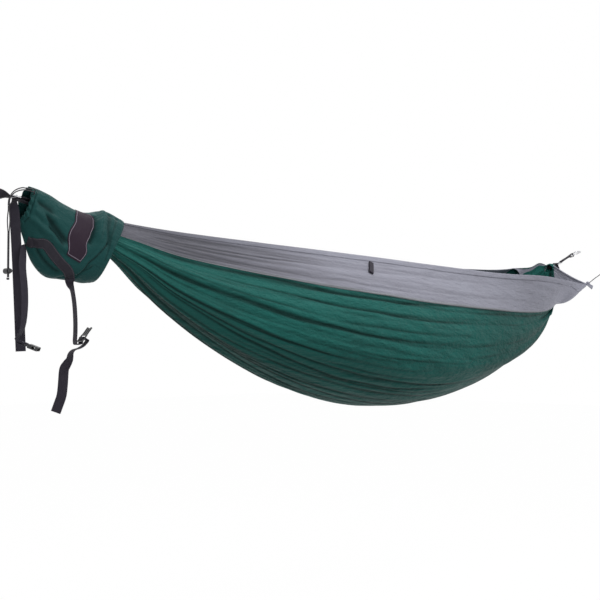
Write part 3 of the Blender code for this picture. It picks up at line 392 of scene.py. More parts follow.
def surface_uvs(rows, closed):
    """Distances along and across the surface, measured on its own rows."""
    uvs = []
    count = len(rows[0])
    middle = count // 2
    along = 0.0
    for i, row in enumerate(rows):
        if i:
            along += (row[middle] - rows[i - 1][middle]).length
        across = 0.0
        line = [(along, 0.0)]
        for j in range(1, count + closed):
            across += (row[j % count] - row[j - 1]).length
            line.append((along, across))
        uvs.append(line)
    return uvs


def grid_mesh(name, rows, material, closed=False, thickness=CLOTH_THICK, offset=0.0, shades=None):
    """A smooth surface over rows of points, with its place along and across as UV in metres."""
    obj = add_object(name, skin(rows, surface_uvs(rows, closed))[0], material)
    if shades:
        shade = obj.data.attributes.new("shade", 'FLOAT', 'POINT')
        shade.data.foreach_set("value", [value for row in shades for value in row])
    solid = obj.modifiers.new("thickness", 'SOLIDIFY')
    solid.thickness = thickness
    solid.offset = offset
    solid.use_even_offset = False
    return obj


def swept(name, path, sides, profile, material, closed=False):
    """A solid along a path, with one section or a section for each of its points."""
    profiles = profile if isinstance(profile[0], list) else [profile] * len(path)
    rings = []
    for i, point in enumerate(path):
        tangent = path_tangent(path, i, closed)
        side = (sides[i] - tangent * sides[i].dot(tangent)).normalized()
        rise = side.cross(tangent)
        rings.append([point + side * a + rise * b for a, b in profiles[i]])
    around = path + [path[0]] if closed else path
    lengths = [0.0]
    for a, b in zip(around, around[1:]):
        lengths.append(lengths[-1] + (b - a).length)
    marks = [0.0]
    for a, b in zip(profiles[0], profiles[0][1:] + profiles[0][:1]):
        marks.append(marks[-1] + math.dist(a, b))
    bm, verts = skin(rings, [[(length, mark) for mark in marks] for length in lengths])
    if not closed:
        bm.faces.new(verts[0])
        bm.faces.new(list(reversed(verts[-1])))
    bmesh.ops.recalc_face_normals(bm, faces=bm.faces)
    obj = add_object(name, bm, material)
    obj.data.set_sharp_from_angle(angle=math.radians(50.0))
    return obj


def web_profile(width, thickness):
    """Flat section with rounded edges."""
    half = width / 2
    t = thickness / 2
    top = [(-half + t, t), (-half / 3, t), (half / 3, t), (half - t, t)]
    edge = [(half - 0.3 * t, 0.7 * t), (half, 0.0), (half - 0.3 * t, -0.7 * t)]
    return top + edge + [(-a, -b) for a, b in top] + [(-a, -b) for a, b in edge]


def round_profile(radius, steps=10):
    turns = [2.0 * math.pi * k / steps for k in range(steps)]
    return [(radius * math.cos(turn), radius * math.sin(turn)) for turn in turns]


def dress(obj, body, node=None):
    """The body that a piece rides on and the solid that it stands for."""
    if node:
        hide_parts(node)
    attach(obj, body)


# Shape of the hanging cloth

# Local forms: size in metres, place along the cloth and width, as shares of its span
SEAM_BUNCH = (0.015, 0.986, 0.011)
PANEL_BELLY = (0.034, 0.983, 0.018)
FAR_RIM_DROP = (0.004, 0.885, 0.060)
NEAR_RIM_BOW = (0.013, 0.875, 0.085)
SACK_PINCH = (0.011, 0.055, 0.028)
SLOPE_STEP = 0.002
END_FOLDS = 7.0


def swell(s, rise, fall):
    peak = rise / (rise + fall)
    return (s / peak) ** rise * ((1.0 - s) / (1.0 - peak)) ** fall


def key_lines(s):
    """Share across the cloth, place sideways and height, for its rims, seams and middle lines."""
    far = FAR_SWELL * swell(s, 1.00, 0.90)
    return (
        (0.0, -0.170 * s, -0.080 * s),
        (SIDE_SHARE, -0.85 * NEAR_SWELL * swell(s, 0.90, 0.70), -0.379 * DEPTH * swell(s, 0.57, 0.17)),
        (0.30, -NEAR_SWELL * swell(s, 0.85, 0.80), -0.75 * DEPTH * swell(s, 0.72, 0.55)),
        (0.50, 0.0, -DEPTH * swell(s, 0.88, 0.78)),
        (0.70, far, -0.72 * DEPTH * swell(s, 0.82, 0.60)),
        (FAR_SHARE, far, -0.298 * DEPTH * swell(s, 0.80, 0.90)),
        (1.0, 0.76 * FAR_SWELL * swell(s, 0.90, 0.90), -0.067 * DEPTH * swell(s, 0.80, 0.80)),
    )


def line_slope(lines, i, axis):
    """How a key line's place changes across the cloth there, from its neighbours."""
    def between(a, b):
        return (lines[b][axis] - lines[a][axis]) / (lines[b][0] - lines[a][0])

    low = max(i - 1, 0)
    high = min(i + 1, len(lines) - 1)
    if i in (low, high):
        return between(low, high)
    weight = (lines[high][0] - lines[i][0]) / (lines[high][0] - lines[low][0])
    return between(low, i) * weight + between(i, high) * (1.0 - weight)


def plan_creases():
    """Long creases: share across, first and last station, depth, half width and waviness."""
    pick = random.Random(5)
    inner = (SIDE_SHARE, 1.0 - 2.0 * SIDE_SHARE)
    families = (
        (42, inner, (-0.06, 0.0), (0.30, 0.85), (0.0030, 0.0075), (0.0036, 0.0075)),
        (34, inner, (0.10, 0.42), (0.50, 0.88), (0.0022, 0.0055), (0.0034, 0.0065)),
        (16, inner, (0.70, 0.88), (1.0, 1.06), (0.0030, 0.0062), (0.0040, 0.0080)),
        (16, (0.020, 0.118), (-0.04, 0.12), (0.25, 0.95), (0.0018, 0.0046), (0.0036, 0.0080)),
    )
    plan = []
    for count, (low, share), *limits in families:
        for i in range(count):
            plan.append((low + share * (i + pick.random()) / count,
                         *(pick.uniform(*pair) for pair in (*limits, (0.0, 90.0)))))
    return plan


CREASES = plan_creases()


def bundle_angle(t):
    """Angle round the gathered bundle from its bottom, for a share across the cloth."""
    return (t - 0.5) * 2.0 * (math.pi - BUNDLE_SPLIT)


class Station:
    """The cloth's section at one place along it."""

    def __init__(self, s):
        self.s = s
        self.lines = key_lines(s)
        self.slopes = [(line_slope(self.lines, i, 1), line_slope(self.lines, i, 2))
                       for i in range(len(self.lines))]
        self.left = max(0.0, 1.0 - s / BUNDLE_FADE) ** 2
        self.right = max(0.0, 1.0 - (1.0 - s) / BUNDLE_FADE) ** 2
        self.flop = eased(s, 0.922, 0.965)
        self.lift = eased(s, 0.898, 0.938) * (self.lines[6][2] - self.lines[5][2])
        self.lift += hump(s, *SEAM_BUNCH)
        self.far_seam = self.plain(FAR_SHARE)
        marks = [self.plain(t) for t in spread(0.0, 1.0, 24)]
        self.width = sum(math.dist(a, b) for a, b in zip(marks, marks[1:]))
        self.creases = self.active_creases()

    def active_creases(self):
        """Share across, depth and half width of the creases that cross this station."""
        active = []
        size = min(1.0, 0.10 + self.width / 0.62)
        length = self.s * SPAN
        for share, first, last, depth, half, phase in CREASES:
            if not first < self.s < last:
                continue
            strong = math.sin(math.pi * (self.s - first) / (last - first)) ** 0.6
            strong *= 0.75 + 0.7 * noise.noise((length * 4.0, phase, 1.3))
            wander = 0.012 * noise.noise((length * 1.7, phase, 0.0))
            wander += 0.0035 * noise.noise((length * 6.0, phase, 7.0))
            active.append((share + wander, depth * strong * size, half * size))
        return active

    def plain(self, t):
        """The cloth's hang between the gathers, sideways and in height."""
        lines = self.lines
        i = 0
        while i < len(lines) - 2 and t > lines[i + 1][0]:
            i += 1
        span = lines[i + 1][0] - lines[i][0]
        u = (t - lines[i][0]) / span
        y, z = [hermite(u, lines[i][axis], lines[i + 1][axis], self.slopes[i][axis - 1] * span,
                        self.slopes[i + 1][axis - 1] * span) for axis in (1, 2)]
        weight = self.left + self.right * min(1.0, t / SIDE_SHARE)
        angle = bundle_angle(t)
        return (y + BUNDLE_RADIUS * math.sin(angle) * weight,
                z - (BUNDLE_RADIUS * math.cos(angle) + BUNDLE_DROP) * weight)

    def smooth(self, t):
        y, z = self.plain(t)
        # the sack's hem holds the cloth up a little
        z += hump(self.s, *SACK_PINCH) * math.sin(math.pi * t)
        if t < SIDE_SHARE:
            # the near panel bellies out under the line to the tied corner, and its rim bows up
            z -= hump(self.s, *PANEL_BELLY) * math.sin(math.pi * (t / SIDE_SHARE) ** 0.75)
            z += hump(self.s, *NEAR_RIM_BOW) * (1.0 - t / SIDE_SHARE) ** 2
        elif t <= FAR_SHARE:
            # beside the right gather the far seam bunches up
            z += self.lift * eased(t, 0.52, FAR_SHARE)
        else:
            # and the far panel falls over behind it
            back = (t - FAR_SHARE) / SIDE_SHARE
            stands = z + self.lift * (1.0 - back) - hump(self.s, *FAR_RIM_DROP) * back
            hangs = self.far_seam[1] + self.lift - 0.050 * back
            z = stands + self.flop * (hangs - stands)
            y += self.flop * (self.far_seam[0] + 0.012 * back - y)
        return y, z

    def rim(self):
        return GATHER + Vector((SPAN * self.s, *self.smooth(0.0)))

    def across(self, t):
        """The section's way at one place, sideways and in height."""
        y0, z0 = self.smooth(max(0.0, t - SLOPE_STEP))
        y1, z1 = self.smooth(min(1.0, t + SLOPE_STEP))
        return y1 - y0, z1 - z0

    def crease_sum(self, t):
        """Depth of the creases at one place, and how deep in a crease it lies, which sets the painted
        shade there.
        """
        push = 0.0
        dark = 0.0
        for share, depth, half in self.creases:
            away = abs(t - share) * self.width / half
            if away < 5.0:
                push += depth * (math.exp(-away) - 0.45 * math.exp(-(0.42 * away) ** 2))
                dark += depth * math.exp(-(1.3 * away) ** 2)
        return push, dark

    def shade(self, t):
        """Painted shade on the cloth's colour: in its creases, where it is gathered, along its bottom and
        where it turns under.
        """
        crease = self.crease_sum(t)[1]
        if t <= SIDE_SHARE:
            # painted shade on the side panel, darkest beside the left gather and gone towards the middle
            # of the span
            gathered = 0.88 * (1.0 - eased(self.s, 0.05, 0.46))
            return min(1.2, gathered + crease / 0.0080)
        # painted shade along the bottom towards the left, over the near side of the right half and under
        # the belly
        low = hump(t, 0.6, 0.48, 0.09) * (1.0 - eased(self.s, 0.12, 0.55))
        turned = 0.52 * eased(self.s, 0.54, 0.76) * (1.0 - eased(t, 0.46, 0.60))
        under = hump(t, 0.50, 0.45, 0.06) * eased(self.s, 0.34, 0.50)
        return min(1.15, low + crease / (0.0034 + 0.008 * abs(t - 0.45)) + turned + under)

    def folds(self, t):
        """How far the folds and creases push the cloth inward along its normal."""
        s = self.s
        share = (t - SIDE_SHARE) / (1.0 - 2.0 * SIDE_SHARE)
        inside = min(1.0, max(0.0, min(share, 1.0 - share)) * 14.0)
        ends = sum(end * math.exp(1.0 - end) for end in (s / 0.10, (1.0 - s) / 0.10))
        total = 0.006 * ends * math.sin(2.0 * math.pi * END_FOLDS * share) * inside
        length = s * SPAN
        middle = math.sin(math.pi * s) ** 0.6 * (1.0 - 0.45 * eased(s, 0.55, 0.85))
        slow = noise.noise((length * 2.3, t * 9.0, 1.7))
        streak = noise.noise((length * 3.2 + 1.5 * slow, t * 30.0 + 1.5 * slow, 8.2))
        narrow = noise.noise((length * 6.5 + 2.0 * streak, t * 62.0 + 1.5 * slow, 5.5))
        total += middle * (0.0050 * slow + 0.0030 * streak + 0.0014 * narrow)
        return total + self.crease_sum(t)[0]

    def point(self, t):
        dy, dz = self.across(t)
        push = self.folds(t) * min(1.0, 0.35 + 40.0 * min(t, 1.0 - t)) / math.hypot(dy, dz)
        y, z = self.smooth(t)
        return GATHER + Vector((SPAN * self.s, y - push * dz, z + push * dy))


def cloth_stations(count):
    """Stations over the whole span, closer together towards both gathers."""
    even = [0.45 * x + 0.55 * (0.5 - 0.5 * math.cos(math.pi * x)) for x in spread(0.0, 1.0, count - 1)]
    return [Station(0.006 + 0.9895 * x) for x in even]


def closing_rows(last, low, high, steps=6):
    """Rows from the last station's section onto the gathered bundle's ring."""
    rows = []
    for i in range(1, steps + 1):
        share = i / steps
        row = []
        for point, t in zip(last, spread(low, high, len(last) - 1)):
            angle = bundle_angle(t)
            radius = BUNDLE_RADIUS * (1.0 + 0.10 * math.sin(9.0 * angle))
            ring = RIGHT_GATHER + Vector((0.0, radius * math.sin(angle),
                                          -radius * math.cos(angle) - BUNDLE_DROP))
            row.append(point.lerp(ring, math.sin(0.5 * math.pi * share)))
            row[-1].x = point.x + (ring.x - point.x) * share
        rows.append(row)
    return rows


def make_panels():
    stations = cloth_stations(300)
    plans = (
        ("near_cloth", "near_side_panel", GREY, 34, 0.0, SIDE_SHARE, (0.17, 2.45)),
        ("centre_cloth", "centre_panel", GREEN, 230, SIDE_SHARE, FAR_SHARE, (0.95, 2.55)),
        ("far_cloth", "far_side_panel", GREY, 26, FAR_SHARE, 1.0, (0.12, 2.45)),
    )
    for name, node, material, across, low, high, flat in plans:
        places = spread(low, high, across)
        rows = [[station.point(t) for t in places] for station in stations]
        shades = [[station.shade(t) for t in places] for station in stations]
        if name != "near_cloth":
            rows += closing_rows(rows[-1], low, high)
            shades += [shades[-1]] * (len(rows) - len(shades))
        panel = grid_mesh(name, rows, material, shades=shades)
        dress(panel, "hammock", node)
    return stations


def edge_strip(name, low, high, lift, material):
    """A narrow sewn strip that lies on the cloth between two shares across it."""
    places = spread(low, high, 6)
    rows = []
    for station in STATIONS:
        row = []
        for t in places:
            dy, dz = station.across(t)
            crown = 1.0 - (2.0 * (t - low) / (high - low) - 1.0) ** 4
            away = Vector((0.0, dz, -dy)).normalized()
            row.append(station.point(t) + away * (lift + 0.0006 * crown))
        rows.append(row)
    shades = [[station.shade(t) for t in places] for station in STATIONS]
    dress(grid_mesh(name, rows, material, thickness=0.0005, shades=shades), "hammock")


STATIONS = make_panels()
SEAM_HALF = 0.0035
edge_strip("near_seam", SIDE_SHARE - SEAM_HALF, SIDE_SHARE + SEAM_HALF, 0.0010, SEAM)
edge_strip("far_seam", FAR_SHARE - SEAM_HALF, FAR_SHARE + SEAM_HALF, 0.0010, SEAM)
edge_strip("near_rim_hem", 0.0003, 0.0180, 0.0012, GREY)
edge_strip("far_rim_hem", 0.9895, 0.9997, 0.0009, GREY)


def make_end_flap(station):
    """The near panel's end, up to the taut hem between the tied corner and the gather."""
    corner = station.point(0.0)
    top = RIGHT_GATHER + Vector((0.0, -0.012, 0.006))
    rows = []
    for w in spread(0.0, 1.0, 30):
        high = corner.lerp(top, w) - UP * 0.006 * math.sin(math.pi * w)
        low = station.point(SIDE_SHARE * w)
        row = []
        for u in spread(0.0, 1.0, 16):
            roll = 0.0024 * math.sin(26.0 * u) * (1.0 - u) * math.sin(math.pi * min(1.0, 3.0 * w))
            row.append(high.lerp(low, u) + Vector((-roll - 0.004 * u * (1.0 - u), -roll, roll)))
        rows.append(row)
    dress(grid_mesh("near_end_flap", rows, GREY), "hammock")
    path = [row[0] for row in rows]
    dress(swept("near_end_hem", path, [UP] * len(path), round_profile(0.0032), GREY), "hammock")


make_end_flap(STATIONS[-1])


# Stuff sack

# Sections from the mouth to the hem: top and bottom in X and Z from the gather, and half width
SACK_ROWS = (
    (-0.175, 0.066, -0.202, -0.014, 0.025),
    (-0.153, 0.064, -0.192, -0.044, 0.035),
    (-0.119, 0.052, -0.165, -0.108, 0.049),
    (-0.080, 0.034, -0.122, -0.146, 0.057),
    (-0.035, 0.0195, -0.080, -0.155, 0.062),
    (0.005, 0.0190, -0.045, -0.158, 0.064),
    (0.048, 0.026, -0.018, -0.162, 0.063),
    (0.086, 0.014, 0.001, -0.160, 0.060),
    (0.106, 0.007, 0.017, -0.157, 0.056),
)

# Rough size of its surface: the whole length, and one degree round it
SACK_LENGTH = 0.30
SACK_DEGREE = 0.00135
RUFFLES = 15.0

# Creases of the sack: route in share along and degrees round, height and half width in metres
SACK_FOLDS = (
    (((0.06, 128.0), (0.16, 112.0), (0.25, 104.0), (0.38, 106.0)), 0.0050, 0.0075),
    (((0.22, 84.0), (0.30, 88.0), (0.36, 94.0)), -0.0065, 0.0080),
    (((0.14, 70.0), (0.22, 66.0)), -0.0040, 0.0110),
    (((0.13, 96.0), (0.20, 88.0), (0.26, 74.0)), 0.0030, 0.0080),
    (((0.585, 165.0), (0.62, 120.0), (0.765, 88.0)), -0.0040, 0.0050),
    (((0.560, 158.0), (0.60, 122.0), (0.735, 92.0)), 0.0030, 0.0070),
    (((0.60, 34.0), (0.59, 60.0), (0.565, 84.0)), -0.0055, 0.0070),
    (((0.70, 20.0), (0.66, 48.0), (0.64, 74.0)), 0.0045, 0.0100),
    (((0.76, 30.0), (0.74, 60.0), (0.78, 84.0)), -0.0030, 0.0090),
    (((0.20, 146.0), (0.30, 148.0), (0.40, 150.0)), -0.0035, 0.0080),
    (((0.125, 12.0), (0.075, 62.0), (0.070, 89.0), (0.075, 109.0), (0.080, 150.0)), -0.0030, 0.0024),
    (((0.245, 95.0), (0.285, 95.0), (0.345, 102.0)), -0.0040, 0.0045),
    (((0.455, 168.0), (0.560, 150.0), (0.680, 128.0)), -0.0025, 0.0040),
    (((0.840, 30.0), (0.800, 70.0), (0.835, 110.0)), -0.0022, 0.0060),
)


def sack_section(v):
    """The sack's section at a share along it, between the rows above."""
    last = len(SACK_ROWS) - 1
    place = min(max(v, 0.0), 1.0) * last
    i = min(int(place), last - 1)
    near = [SACK_ROWS[min(max(i + step, 0), last)] for step in (-1, 0, 1, 2)]
    return [hermite(place - i, b, c, (c - a) / 2, (d - b) / 2) for a, b, c, d in zip(*near)]


def fold_distance(v, degrees, route):
    """Distance in metres from a place on the sack to a crease's route."""
    best = 1.0
    px, py = v * SACK_LENGTH, degrees * SACK_DEGREE
    spots = [(va * SACK_LENGTH, da * SACK_DEGREE) for va, da in route]
    for (ax, ay), (bx, by) in zip(spots, spots[1:]):
        length = (bx - ax) ** 2 + (by - ay) ** 2
        share = min(1.0, max(0.0, ((px - ax) * (bx - ax) + (py - ay) * (by - ay)) / length))
        best = min(best, math.hypot(px - ax - share * (bx - ax), py - ay - share * (by - ay)))
    return best


def sack_folds(v, degrees):
    """For each crease of the sack its height, and how many half widths away it is."""
    if degrees > 270.0:
        degrees -= 360.0
    return [(height, fold_distance(v, degrees, route) / half) for route, height, half in SACK_FOLDS]


def ruffle_wave(degrees):
    turn = math.radians(degrees)
    return math.cos(RUFFLES * turn + 2.0 * math.sin(3.0 * turn))


def sack_relief(v, degrees):
    """Height of the sack's folds over its smooth shape."""
    total = sum(1.35 * height * math.exp(-away * away)
                for height, away in sack_folds(v, degrees) if away < 3.0)
    total += 0.0028 * max(0.0, 1.0 - v / 0.11) * ruffle_wave(degrees)
    place = sack_smooth(v, degrees) * 9.0
    total += 0.0042 * noise.noise(place) * min(1.0, 0.2 + 4.0 * v) * min(1.0, 0.3 + 5.0 * (1.0 - v))
    total += 0.0011 * noise.noise(place * 3.1)
    return total + 0.0007 * eased(v, 0.905, 0.925)


def sack_shade(v, degrees):
    """Painted shade on the sack's colour, in its folds and in the ruffles of its mouth."""
    dark = sum(-height / 0.0040 * math.exp(-1.4 * away * away)
               for height, away in sack_folds(v, degrees) if height < 0.0)
    dark += 0.8 * max(0.0, 1.0 - v / 0.075) * (0.5 - 0.5 * ruffle_wave(degrees))
    return min(1.0, dark)


def sack_smooth(v, degrees, lift=0.0):
    """Point of the unfolded sack: degrees run from its top over its near side."""
    angle = math.radians(degrees)
    top_x, top_z, low_x, low_z, half = sack_section(v)
    top = Vector((top_x, 0.0, top_z))
    low = Vector((low_x, 0.0, low_z))
    upright = (top - low) / 2
    far_side = max(0.0, -math.sin(angle))
    back = 0.028 * v**4 if math.sin(angle) > 0.0 else 0.0
    bow = (0.010 * v * v - back) * math.sin(angle) ** 2
    far = v * v * far_side
    half *= 1.0 + 0.6 * far
    half *= 1.0 - 0.45 * math.sin(math.pi * min(1.0, max(0.0, v) / 0.55)) * far_side
    # the far side tucks in below the mouth
    tuck = hump(v, 1.0, 0.21, 0.11) * far_side
    half *= 1.0 - 0.45 * tuck
    bow += 0.022 * tuck
    side = -half * (1.0 + lift / half) * math.sin(angle)
    rise = math.cos(angle) * (1.0 + lift / upright.length)
    spread_out = Vector((bow, side, 0.022 * far * max(0.0, math.cos(angle))))
    return GATHER + (top + low) / 2 + upright * rise + spread_out


def sack_point(v, degrees, lift=0.0):
    return sack_smooth(v, degrees, lift + sack_relief(v, degrees))


def make_sack():
    rings, sides = ((130, 216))
    turns = [360.0 * j / sides for j in range(sides)]
    places = spread(0.0, 1.0, rings)
    rows = [[sack_point(v, degrees) for degrees in turns] for v in places]
    shades = [[sack_shade(v, degrees) for degrees in turns] for v in places]
    sack = grid_mesh("sack_cloth_shell", rows, SACK, closed=True, thickness=0.0010, offset=1.0,
                     shades=shades)
    dress(sack, "sack", "stuff_sack")
    rows = [[sack_point(v, degrees, 0.0008) for v in spread(0.915, 0.998, 8)] for degrees in turns]
    dress(grid_mesh("sack_hem", rows + rows[:1], SACK_HEM, thickness=0.0005), "sack")


# Sides of the label on the sack, from its top: degrees round and share along
LABEL_LEFT = ((14.0, 0.462), (50.0, 0.425), (84.0, 0.378), (101.0, 0.392), (114.0, 0.400))
LABEL_RIGHT = ((30.0, 0.612), (55.0, 0.600), (72.0, 0.566), (90.0, 0.536), (104.0, 0.556), (122.0, 0.531))
BORDER_INSET = (0.060, 0.035)


def along_route(route, w):
    """Share along the sack at a share w down a side of the label."""
    degrees = route[0][0] + (route[-1][0] - route[0][0]) * w
    for (da, va), (db, vb) in zip(route, route[1:]):
        if degrees <= db + 1e-6:
            return va + (vb - va) * eased(degrees, da, db), degrees
    return route[-1][1], degrees


def label_place(u, w):
    """Share along and degrees round the sack at shares across and down the label."""
    left_v, left_d = along_route(LABEL_LEFT, w)
    right_v, right_d = along_route(LABEL_RIGHT, w)
    return left_v + (right_v - left_v) * u, left_d + (right_d - left_d) * u


def make_label():
    shares = spread(0.0, 1.0, 44)
    rows = [[sack_point(*label_place(u, w), 0.0021) for u in shares] for w in shares]
    label = grid_mesh("label_patch_face", rows, LABEL, thickness=0.0008)
    dress(label, "sack", "sack_label")
    left, top = BORDER_INSET
    right, low = 1.0 - left, 1.0 - top
    ring = []
    for start, end, count in (((left, top), (right, top), 40), ((right, top), (right, low), 80),
                              ((right, low), (left, low), 40), ((left, low), (left, top), 80)):
        ring += list(zip(spread(start[0], end[0], count), spread(start[1], end[1], count)))[:-1]
    spots = [label_place(u, w) for u, w in ring + ring[:1]]
    path = [sack_point(*spot, 0.0029) for spot in spots]
    sides = []
    for i, spot in enumerate(spots):
        outward = sack_point(*spot, 0.010) - sack_point(*spot)
        sides.append(outward.cross(path_tangent(path, i)))
    border = swept("label_border", path, sides, web_profile(0.0016, 0.0007), LABEL_EDGE)
    dress(border, "sack")


def make_sewn_strap():
    """The strap that is sewn across the sack, from its left edge to its bottom."""
    route = ((0.170, 164.0), (0.205, 142.0), (0.250, 124.0), (0.325, 126.0), (0.438, 136.0),
             (0.500, 148.0), (0.537, 159.0))
    spots = smooth_path([(v, degrees, 0.0) for v, degrees in route], 8)
    lift = 0.0026
    step = 0.004
    centres = [sack_point(p.x, p.y, lift) for p in spots]
    rows = []
    for i, spot in enumerate(spots):
        here = sack_smooth(spot.x, spot.y, lift)
        along = (sack_smooth(spot.x + step, spot.y, lift) - here) / step
        around = sack_smooth(spot.x, spot.y + 1.0, lift) - here
        side = along.cross(around).cross(path_tangent(centres, i)).normalized()
        aa, ab, bb = along.dot(along), along.dot(around), around.dot(around)
        whole = aa * bb - ab * ab
        row = []
        for share in spread(-0.5, 0.5, 8):
            shift = side * WEB_WIDTH * share
            da, db = shift.dot(along), shift.dot(around)
            v = spot.x + (da * bb - db * ab) / whole
            degrees = spot.y + (db * aa - da * ab) / whole
            row.append(sack_smooth(v, degrees, lift).lerp(sack_point(v, degrees, lift), 0.85))
        rows.append(row)
    strap = grid_mesh("sewn_strap", rows, WEB_SEWN, thickness=0.0018)
    dress(strap, "sack", "sack_strap")
    return (centres[-1] - centres[-2]).normalized(), (rows[-1][-1] - rows[-1][0]).normalized()


make_sack()
make_label()
SEWN_END, SEWN_ACROSS = make_sewn_strap()


# Free straps and cords

LEFT_TAIL = 0.365
RIGHT_TAIL = 0.075
BAR_PITCH = 0.0105
BAR_WRAP = 0.00342
SOCKET_BAR = 0.0197
SOCKET_LAP = 0.022
CORD_PITCH = 0.003
CORD_RADIUS = 0.0014
CORNER_CORD_RADIUS = 0.0016
CORNER_PULL = Vector((0.93, 0.0, 0.368)).normalized()
DRAWCORD_TOP = GATHER + Vector((-0.2456, -0.0265, 0.012))
DRAWCORD_KNOT_DROP = 0.1736
SWING_SHARE = 0.58


def free_web(name, node, body, path, first, last, turn, swing=0.0):
    """A strap whose width turns from first to last over a part of its way, or swings out and back."""
    sides = []
    for share in spread(0.0, 1.0, len(path) - 1):
        side = first.lerp(last, eased(share, *turn))
        if swing:
            side = first + VIEW_RIGHT * swing * math.sin(math.pi * min(1.0, share / SWING_SHARE))
        sides.append(side)
    web = swept(name, path, sides, web_profile(WEB_WIDTH, WEB_THICK * 0.9), WEB)
    dress(web, body, node)


def cord_sides(path):
    """Sides that carry on from one to the next along a cord, without twist."""
    side = path_tangent(path, 0).cross(VIEW_DEEP)
    sides = []
    for i in range(len(path)):
        tangent = path_tangent(path, i)
        side = (side - tangent * side.dot(tangent)).normalized()
        sides.append(side)
    return sides


def free_cord(name, node, body, path, radius):
    cord = swept(name, path, cord_sides(path), round_profile(radius), CORD)
    dress(cord, body, node)


def joint_spot(name):
    return Vector(JOINTS[name]["pos_m"])


def hanging(start, right, away, *steps):
    """Points from a start, by their place across, their height and how much nearer they are."""
    return [start + right * across + UP * height - away * nearer for across, height, nearer in steps]


def clip_frame(centre, rear, width_axis):
    """Frame of a clip's half: X to its rear, Y along its bars."""
    rear = rear.normalized()
    side = (width_axis - rear * width_axis.dot(rear)).normalized()
    return Matrix.Translation(centre) @ Matrix((rear, side, rear.cross(side))).transposed().to_4x4()


def end_place(gather, anchor):
    """Frame at a gather: X to the anchor, Y level, Z upward."""
    ahead = (anchor - gather).normalized()
    side = UP.cross(ahead).normalized()
    turn = Matrix((ahead, side, ahead.cross(side))).transposed().to_4x4()
    return Matrix.Translation(gather) @ turn


PLACES = {"left": end_place(GATHER, Vector((0.0, 0.0, 0.0))),
          "right": end_place(RIGHT_GATHER, ANCHOR)}


def threaded_bars(reach, second):
    """A strap's way over a first bar and under the next one, which pinches it."""
    tangent = math.degrees(math.asin(2.0 * BAR_WRAP / BAR_PITCH))
    points = [Vector((reach - BAR_WRAP, 0.0, -0.0075)), Vector((reach - BAR_WRAP, 0.0, second))]
    points += arc(reach, BAR_WRAP, 180.0, 90.0 - tangent, 8)
    return points + arc(reach + BAR_PITCH, BAR_WRAP, 270.0 - tangent, 270.0, 5)


def make_tail(side, length, steps):
    """Free end of a suspension strap: out of its buckle, then straight down."""
    start = joint_spot(side + "_tail_swing")
    down = PLACES[side].to_3x3() @ -UP
    points = [start, start + down * 0.012]
    points += [start + Vector((along, out, -share * length)) for share, along, out in steps]
    sign = 1.0 if side == "left" else -1.0
    free_web(side + "_tail_web", side + "_strap_tail", side + "_tail", smooth_path(points, 4),
             LEVEL * -sign, VIEW_RIGHT * sign, (0.04, 0.34))


def make_long_end():
    """The sewn strap's long end, threaded through the ladder half of the clip, and its tail."""
    plane = Vector((math.cos(math.radians(-12.0)), math.sin(math.radians(-12.0)), 0.0))
    level = Vector((-plane.y, plane.x, 0.0))
    start = joint_spot("male_strap_swing")
    clip_at, = hanging(start, plane, level, (0.032, -0.150, 0.006))
    rear = plane * -0.605 - UP * 0.796
    place = clip_frame(clip_at, rear, -level)
    threaded = [place @ point for point in threaded_bars(0.0, -0.0037)]
    leave = threaded[-1]
    path = [start, start + SEWN_END * 0.004, start + SEWN_END * 0.007 - UP * 0.007 - level * 0.002]
    path += hanging(start, plane, level, (0.004, -0.028, 0.006), (0.010, -0.062, 0.006),
                    (0.013, -0.100, 0.006), (0.0135, -0.134, 0.006), (0.0125, -0.156, 0.006),
                    (0.0150, -0.1655, 0.006))
    path.append(leave + rear * 0.0035 - place.to_3x3() @ UP * 0.0004)
    path = smooth_path(path + [leave], 3)[:-1] + list(reversed(threaded))
    width = place.to_3x3() @ LEVEL
    free_web("long_end_web", "male_strap_end", "strap_male", path, SEWN_ACROSS,
             width if width.dot(SEWN_ACROSS) > 0.0 else -width, (0.0, 0.22))

    tail_start = joint_spot("male_tail_swing")
    tail = [tail_start, tail_start + (tail_start - threaded[0]).normalized() * 0.006]
    tail += hanging(start, plane, level, (0.035, -0.168, 0.006), (0.023, -0.175, 0.006),
                    (0.009, -0.179, 0.007), (0.000, -0.188, 0.009), (-0.004, -0.203, 0.012),
                    (-0.010, -0.217, 0.006), (-0.0145, -0.228, 0.003), (-0.018, -0.258, 0.006),
                    (-0.0225, -0.290, 0.009), (-0.029, -0.314, 0.005), (-0.035, -0.333, 0.002))
    last = VIEW_RIGHT if VIEW_RIGHT.dot(width) > 0.0 else -VIEW_RIGHT
    free_web("long_tail_web", "male_strap_tail", "strap_male_tail", smooth_path(tail, 3), width,
             last, (0.30, 0.75))


